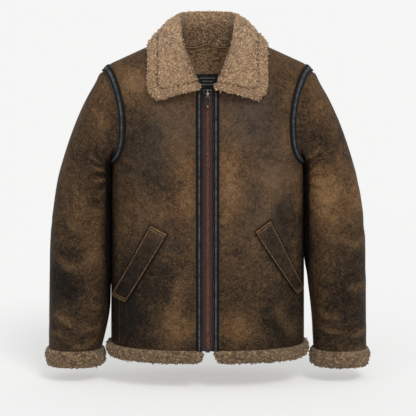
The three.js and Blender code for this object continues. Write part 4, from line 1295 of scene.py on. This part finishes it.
def buildWelt(name, corners):
    rows, columns = 150, 40
    place, out = patchGrid(corners, -1, rows, columns, 0)
    down, across = np.meshgrid(np.linspace(0, 1, rows), np.linspace(0, 1, columns), indexing="ij")
    wide, long_ = welt["size"]
    sides, ends = np.minimum(across, 1 - across) * wide, np.minimum(down, 1 - down) * long_
    rim = np.minimum(sides, ends)
    rise = welt["thickness"] * smoothStep(-0.0012, 0.0022, rim)
    grooves = np.zeros(rim.shape)
    for inset in welt["sideStitch"]:
        grooves = np.maximum(grooves, np.exp(-((sides - inset) / 0.0008) ** 2) * (ends > inset))
    for inset in welt["endStitch"]:
        grooves = np.maximum(grooves, np.exp(-((ends - inset) / 0.0008) ** 2) * (sides > 0.002))
    rise = rise - 0.0009 * grooves
    shaped = place + out * (welt["lift"] + rise)[..., None]
    piece = gridPiece(f"welt_{name}", shaped, out)
    turned = not np.allclose(pieceCoordinates(piece)[0], shaped[0, 0], atol=1e-7)
    wear = np.exp(-((rim - 0.0026) / 0.0014) ** 2) + 0.8 * np.exp(-((ends - 0.0082) / 0.0012) ** 2)
    inside = smoothStep(0.005, 0.009, sides) * smoothStep(0.010, 0.016, ends)
    # painted shade on the welt's sides and in its stitch grooves, plus a darker middle of the welt's own
    paintedShadeAndDarkTone = np.clip((rim < 0.0011) * 1.0 + grooves * 0.9 + 0.30 * inside, 0, 1)
    wear = np.clip(wear * (1 - paintedShadeAndDarkTone), 0, 1)
    paintMasks(piece, wear[:, ::-1] if turned else wear, paintedShadeAndDarkTone[:, ::-1] if turned else paintedShadeAndDarkTone)
    piece.data.materials.append(leather)
    applyModifier(piece, "SOLIDIFY", thickness=0.0018, offset=-1.0, use_even_offset=False)
    shadeSmooth(piece, 50)
    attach(piece, "coat")
    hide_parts(f"pocket_welt_{name}")
    lines = []
    for inset in welt["sideStitch"]:
        for share in (inset / wide, 1 - inset / wide):
            column = int(round(share * (columns - 1)))
            lines.append((shaped[6:-6, column] + out[6:-6, column] * 0.0003, out[6:-6, column]))
    for inset in welt["endStitch"]:
        for share in (inset / long_, 1 - inset / long_):
            row = int(round(share * (rows - 1)))
            lines.append((shaped[row, 3:-3] + out[row, 3:-3] * 0.0003, out[row, 3:-3]))
    return piece, stitchRun(f"welt_stitches_{name}", lines, 0.0040, 0.0029, 0.00042)


weltPieces = {name: buildWelt(name, corners) for name, corners in weltTables.items()}
print("pockets made")

sideLines = []
for x, side in ((.192, -1), (-.192, -1), (.190, 1), (-.190, 1)):
    run = bodyPoints(np.full(160, x), np.linspace(-0.045, -0.975, 160), side)
    sideLines.append((run + bodyNormals(run) * 0.0002, bodyNormals(run)))
stitchRun("side_seam_stitches", sideLines, 0.0050, 0.0034, 0.00042)

# Armhole strips: share of the width, share of the height
stripProfile = [(.05, 0), (.06, .35), (.10, .72), (.15, .85), (.21, .7), (.27, .32), (.32, .28), (.38, .6),
                (.46, .9),
                (.58, 1), (.70, .98), (.82, .85), (.92, .6), (.98, .3), (1, 0)]
strip = {"width": 0.020, "height": 0.0032, "lift": 0.0009}


def buildStrip(flip):
    turns = np.linspace(0, 2, 220, endpoint=False)
    point, out, over = armholeFrame(turns)
    level = (1 + signedPower(np.cos(math.pi * turns), 2 / 2.2)) / 2
    flat = (0.3 + 0.7 * np.minimum(1, level / 0.2)) * (1 - 0.55 * smoothStep(0.93, 0.99, level))
    rows, reached, outs = [], 0.0, []
    for share, high in stripProfile:
        target = share * strip["width"]
        point = ontoBody(point + over * (target - reached))
        reached = target
        out = bodyNormals(point)
        soft = 1 + 0.08 * np.sin(turns * 40) * np.sin(turns * 17)
        rows.append(point + out * (strip["lift"] + 0.0002 + (0.0008 + strip["height"] * high * flat * soft))[:, None]
                    if 0 < high else point + out * strip["lift"])
        outs.append(out)
    rows, outs = [rows[0] - outs[0] * 0.0034] + rows, [outs[0]] + outs  # a tuck into the armhole seam
    grid = np.array(rows).transpose(1, 0, 2)
    outGrid = np.array(outs).transpose(1, 0, 2)
    grid = np.concatenate([grid, grid[:1]])
    outGrid = np.concatenate([outGrid, outGrid[:1]])
    side = "left" if flip else "right"
    if flip:
        grid, outGrid = mirroredX(grid), mirroredX(outGrid)
    piece = gridPiece(f"strip_armhole_{side}", grid, outGrid)
    inEditMode(piece, lambda: bpy.ops.mesh.select_all(action="SELECT"),
               lambda: bpy.ops.mesh.remove_doubles(threshold=1e-6))
    share = np.array([0] + [a for a, _ in stripProfile])
    # painted highlight down the strip's main ridge and its small outer ridge
    bright = 0.85 * np.exp(-((share - 0.60) / 0.13) ** 2) + 0.5 * np.exp(-((share - 0.14) / 0.05) ** 2)
    co = pieceCoordinates(piece)
    tree = kdtree.KDTree(grid.shape[0] * grid.shape[1])
    for i, point_ in enumerate(grid.reshape(-1, 3)):
        tree.insert(point_, i)
    tree.balance()
    setMask(piece, "ridge", np.array([bright[tree.find(p)[1] % len(share)] for p in co]))
    piece.data.materials.append(blackLeather)
    shadeSmooth(piece, 60)
    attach(piece, "coat")
    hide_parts(f"armhole_strip_{side}")
    stitches = stitchRun(f"strip_stitches_{side}", [(grid[:, 7], outGrid[:, 7])], 0.0044, 0.0030, 0.0004)
    return piece, stitches


for flip in (False, True):
    buildStrip(flip)


# Front bars beside the zip
def barGrid(xs, heights, topZ, bottomZ, rows, wobble=0.0):
    z = np.linspace(bottomZ, topZ, rows)[:, None] + 0 * np.array(xs)[None]
    x = np.array(xs)[None] + 0 * z
    point = bodyPoints(x, levelAt(x, z), -1)
    soft = 1 + wobble * np.sin(z * 210) * np.sin(z * 77 + 1)
    point[..., 1] -= np.array(heights)[None] * soft
    return point


def buildBar(name, node, material, xs, heights, topZ, bottomZ, rows, depth, flip, wobble=0.0):
    grid = barGrid(xs, heights, topZ, bottomZ, rows, wobble)
    grid = mirroredX(grid) if flip else grid
    facing = np.zeros(grid.shape)
    facing[..., 1] = -1
    across = np.array(xs)[None] + 0 * grid[..., 0]
    piece = gridPiece(name, grid, facing, np.stack([across, grid[..., 2]], -1))
    share = (np.abs(pieceCoordinates(piece)[:, 0]) - xs[0]) / (xs[-1] - xs[0])
    # the black leather reads this as a painted highlight down the middle of the bar and near its inner edge
    setMask(piece, "ridge", 0.9 * np.exp(-((share - 0.50) / 0.09) ** 2) + 0.25 * np.exp(-((share - 0.12) / 0.05) ** 2))
    piece.data.materials.append(material)
    applyModifier(piece, "SOLIDIFY", thickness=depth, offset=-1.0, use_even_offset=False)
    shadeSmooth(piece, 60)
    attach(piece, "coat")
    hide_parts(node)
    return piece


bindingProfile = [(0, .4), (.03, 1.3), (.09, 1.9), (.15, 2.0), (.20, 1.7), (.27, 2.3), (.36, 2.9),
                  (.46, 3.2), (.56, 3.2),
                  (.66, 2.9), (.75, 2.3), (.82, 1.6), (.88, 1.5), (.95, 1.1), (1, .7), (1.055, .3)]
zipPieces = []
for side, flip in (("right", False), ("left", True)):
    wide = zip_["bindingOuter"] - zip_["bindingInner"]
    xs = [zip_["bindingInner"] + a * wide for a, _ in bindingProfile]
    zipPieces.append(buildBar(f"binding_{side}", f"zip_binding_{side}", blackLeather, xs,
                              [h / 1000 for _, h in bindingProfile], zip_["bindingTopZ"], body["hemZ"], 180, 0.0016,
                              flip, 0.06))
    xs = np.linspace(zip_["tapeInner"], zip_["bindingInner"] + 0.0004, 12)
    zipPieces.append(buildBar(f"tape_{side}", f"zip_tape_{side}", tapeCloth, list(xs),
                              [-0.0012 - 0.0002 * math.cos(i) for i in range(12)], zip_["bindingTopZ"], body["hemZ"], 120,
                              0.0012, flip))


def toothTemplate():
    # a cast tooth: a block with a rounded head, its edges bevelled
    deselectAll()
    bpy.ops.mesh.primitive_cube_add(size=1)
    tooth = bpy.context.object
    tooth.scale = (0.0052, 0.0026, 0.0017)
    bpy.ops.object.transform_apply(location=False, rotation=False, scale=True)
    applyModifier(tooth, "BEVEL", width=0.0004, segments=1)
    points = pieceCoordinates(tooth)
    head = points[:, 0] > 0.001
    points[head, 2] *= 1.35
    faces = [list(p.vertices) for p in tooth.data.polygons]
    bpy.data.objects.remove(tooth)
    return points, faces


def buildTeeth():
    base, faces = toothTemplate()
    points, allFaces = [], []
    z = body["hemZ"] + 0.0085
    side = 1
    while z < zip_["topZ"] - 0.016:
        at = bodyPoints(0.0, float(levelAt(0.0, z)), -1)
        local = base.copy()
        local[:, 0] = side * (local[:, 0] * -1 + zip_["toothReach"] - 0.0026)
        order = [f if side < 0 else f[::-1] for f in faces]
        allFaces += [[v + len(points) * len(base) for v in f] for f in order]
        points.append(local + [0, at[1] - 0.0004, z])
        z += zip_["toothPitch"] / 2
        side = -side
    mesh = bpy.data.meshes.new("zip_teeth")
    mesh.from_pydata(np.concatenate(points).tolist(), [], allFaces)
    piece = bpy.data.objects.new("zip_teeth", mesh)
    bpy.context.collection.objects.link(piece)
    piece.data.materials.append(brass)
    shadeSmooth(piece, 35)
    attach(piece, "coat")
    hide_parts("zip_chain")
    return piece


buildTeeth()


def metalBlock(name, size, place, bevel):
    deselectAll()
    bpy.ops.mesh.primitive_cube_add(size=1, location=place)
    piece = bpy.context.object
    piece.name = piece.data.name = name
    piece.scale = size
    bpy.ops.object.transform_apply(location=True, rotation=False, scale=True)
    if bevel:
        applyModifier(piece, "BEVEL", width=bevel, segments=3)
    return piece


def metalBar(name, radius, length, place, axis="X"):
    deselectAll()
    bpy.ops.mesh.primitive_cylinder_add(vertices=32, radius=radius, depth=length, location=place)
    piece = bpy.context.object
    piece.name = piece.data.name = name
    piece.rotation_euler = {"X": (0, math.pi / 2, 0), "Y": (math.pi / 2, 0, 0), "Z": (0, 0, 0)}[axis]
    bpy.ops.object.transform_apply(location=True, rotation=True, scale=True)
    applyModifier(piece, "BEVEL", width=radius * 0.25, segments=2, limit_method="ANGLE")
    return piece


def cutAway(piece, *tools):
    for tool in tools:
        applyModifier(piece, "BOOLEAN", operation="DIFFERENCE", solver="EXACT", object=tool)
        bpy.data.objects.remove(tool)


slider = {"topZ": -0.102, "backY": -0.1216, "thickness": 0.0046, "halfTop": 0.010, "halfFoot": 0.0065,
          "hingeZ": -0.111, "hingeY": -0.1288, "earX": 0.0043}


def finishMetal(piece, body_, material, *nodes):
    if material is not None:
        piece.data.materials.clear()
        piece.data.materials.append(material)
    shadeSmooth(piece, 35)
    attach(piece, body_)
    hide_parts(*nodes)
    return piece


def buildSlider():
    front = slider["backY"] - slider["thickness"]
    middleY, middleZ = slider["backY"] - slider["thickness"] / 2, slider["topZ"] - 0.010
    plate = metalBlock("slider_body", (0.0198, slider["thickness"], 0.0196), (0, middleY, middleZ), 0)
    p = pieceCoordinates(plate)
    foot = p[:, 2] < middleZ
    p[foot, 0] *= slider["halfFoot"] / slider["halfTop"]
    plate.data.vertices.foreach_set("co", p.astype(np.float32).ravel())
    plate.data.update()
    applyModifier(plate, "BEVEL", width=0.0013, segments=4)
    plate.data.materials.append(gunmetal)
    hollows = [metalBlock(f"slider_hollow_{k}", (0.0042, 0.0036, 0.0100),
                          (k * 0.0042, front - 0.0001, middleZ + 0.0020), 0.0009)
               for k in (-1, 1)]
    # the hollows' walls take the near-black metal: painted shade inside them
    plate.data.materials.append(hollowShadeMetal)
    for hollow in hollows:
        hollow.data.materials.append(gunmetal)
        hollow.data.materials.append(hollowShadeMetal)
        hollow.data.polygons.foreach_set("material_index", np.ones(len(hollow.data.polygons), dtype=np.int32))
    cutAway(plate, *hollows)
    ears = [metalBlock(f"slider_ear_{k}", (0.0016, 0.0048, 0.0042),
                       (k * slider["earX"], front - 0.0021, slider["hingeZ"]), 0.0006)
            for k in (-1, 1)]
    bridge = metalBar("slider_bridge", 0.0010, 0.0084, (0, slider["hingeY"], slider["hingeZ"]))
    crown = metalBlock("slider_crown", (0.0026, 0.0016, 0.0170), (0, front - 0.0002, middleZ + 0.0004),
                       0.0007)
    for piece, metal in ((ears[0], gunmetal), (ears[1], gunmetal), (bridge, gunmetal), (crown, nickel)):
        piece.data.materials.append(metal)
    return finishMetal(joinPieces(plate, *ears, bridge, crown), "coat", None, "zip_slider")


def buildPullTab():
    y, z = slider["hingeY"], slider["hingeZ"]
    frameBlock = metalBlock("tab_frame", (0.0112, 0.0022, 0.0202), (0, y, z - 0.0146), 0.0009)
    window = metalBlock("tab_window", (0.0058, 0.0060, 0.0122), (0, y, z - 0.0152), 0.0016)
    cutAway(frameBlock, window)
    knuckle = metalBar("tab_knuckle", 0.00195, 0.0058, (0, y, z))
    core = metalBar("tab_core", 0.00125, 0.0090, (0, y, z))
    cutAway(knuckle, core)
    neck = metalBlock("tab_neck", (0.0034, 0.0018, 0.0050), (0, y, z - 0.0036), 0.0004)
    deselectAll()
    bpy.ops.mesh.primitive_uv_sphere_add(segments=20, ring_count=12, radius=1, location=(0, y, z - 0.0270))
    bead = bpy.context.object
    bead.scale = (0.0019, 0.0013, 0.0022)
    bpy.ops.object.transform_apply(location=True, rotation=False, scale=True)
    frameBlock.data.materials.append(gunmetal)
    for piece in (knuckle, neck, bead):
        piece.data.materials.append(nickel)
    return finishMetal(joinPieces(frameBlock, knuckle, neck, bead), "pull", None, "pull_tab")


def buildZipBox():
    at = bodyPoints(0.0, -1.0, -1)
    box = metalBlock("zip_bottom_box", (0.0093, 0.0048, 0.0098), (0, at[1] + 0.0004, body["hemZ"] + 0.0028),
                     0.0008)
    return finishMetal(box, "coat", gunmetal, "zip_box")


buildSlider()
buildPullTab()
buildZipBox()
print("zip made")

# Stage, camera and light
view = {"distance": 4.0, "elevation": 8.0, "target": (0.0009, 0.0, -0.3725), "lens": 157.3, "floorZ": -0.755}
light = {"world": 0.57, "key": 1.58, "keyTurn": 22, "keyRise": 46, "keySoft": 20, "fill": 0.50,
         "fillTurn": -35,
         "fillRise": 35, "fillSoft": 60}


def buildStage():
    deselectAll()
    bpy.ops.mesh.primitive_plane_add(size=400, location=(0, 0, view["floorZ"]))
    floor = bpy.context.object
    floor.name = "stage_floor"
    material, tree, shader = newMaterial("paleFloor", 1.0, Specular_IOR_Level=0.0)
    shader.inputs["Base Color"].default_value = (0.45, 0.45, 0.449, 1)
    shader.inputs["Emission Color"].default_value = (1, 1, 0.998, 1)
    shader.inputs["Emission Strength"].default_value = 0.46
    floor.data.materials.append(material)
    world = bpy.context.scene.world or bpy.data.worlds.new("World")
    bpy.context.scene.world = world
    world.use_nodes = True
    world.node_tree.nodes["Background"].inputs[0].default_value = (1.0, 0.995, 0.985, 1)
    world.node_tree.nodes["Background"].inputs[1].default_value = light["world"]


def addSun(name, turn, rise, strength, softness):
    data = bpy.data.lights.new(name, "SUN")
    data.energy, data.angle = strength, math.radians(softness)
    lamp = bpy.data.objects.new(name, data)
    bpy.context.collection.objects.link(lamp)
    a, b = math.radians(turn), math.radians(rise)
    toward = Vector((math.sin(a) * math.cos(b), -math.cos(a) * math.cos(b), math.sin(b)))
    lamp.rotation_euler = (-toward).to_track_quat("-Z", "Y").to_euler()


def buildCamera():
    data = bpy.data.cameras.new("camera")
    camera = bpy.data.objects.new("camera", data)
    bpy.context.collection.objects.link(camera)
    rise = math.radians(view["elevation"])
    aim = Vector(view["target"])
    camera.location = aim + Vector((0, -math.cos(rise), math.sin(rise))) * view["distance"]
    camera.rotation_euler = (aim - camera.location).to_track_quat("-Z", "Y").to_euler()
    data.lens, data.sensor_width, data.clip_end = view["lens"], 36, 500
    bpy.context.scene.camera = camera


buildStage()
buildCamera()
addSun("key", light["keyTurn"], light["keyRise"], light["key"], light["keySoft"])
addSun("fill", light["fillTurn"], light["fillRise"], light["fill"], light["fillSoft"])
bpy.context.scene.view_settings.view_transform = "Standard"
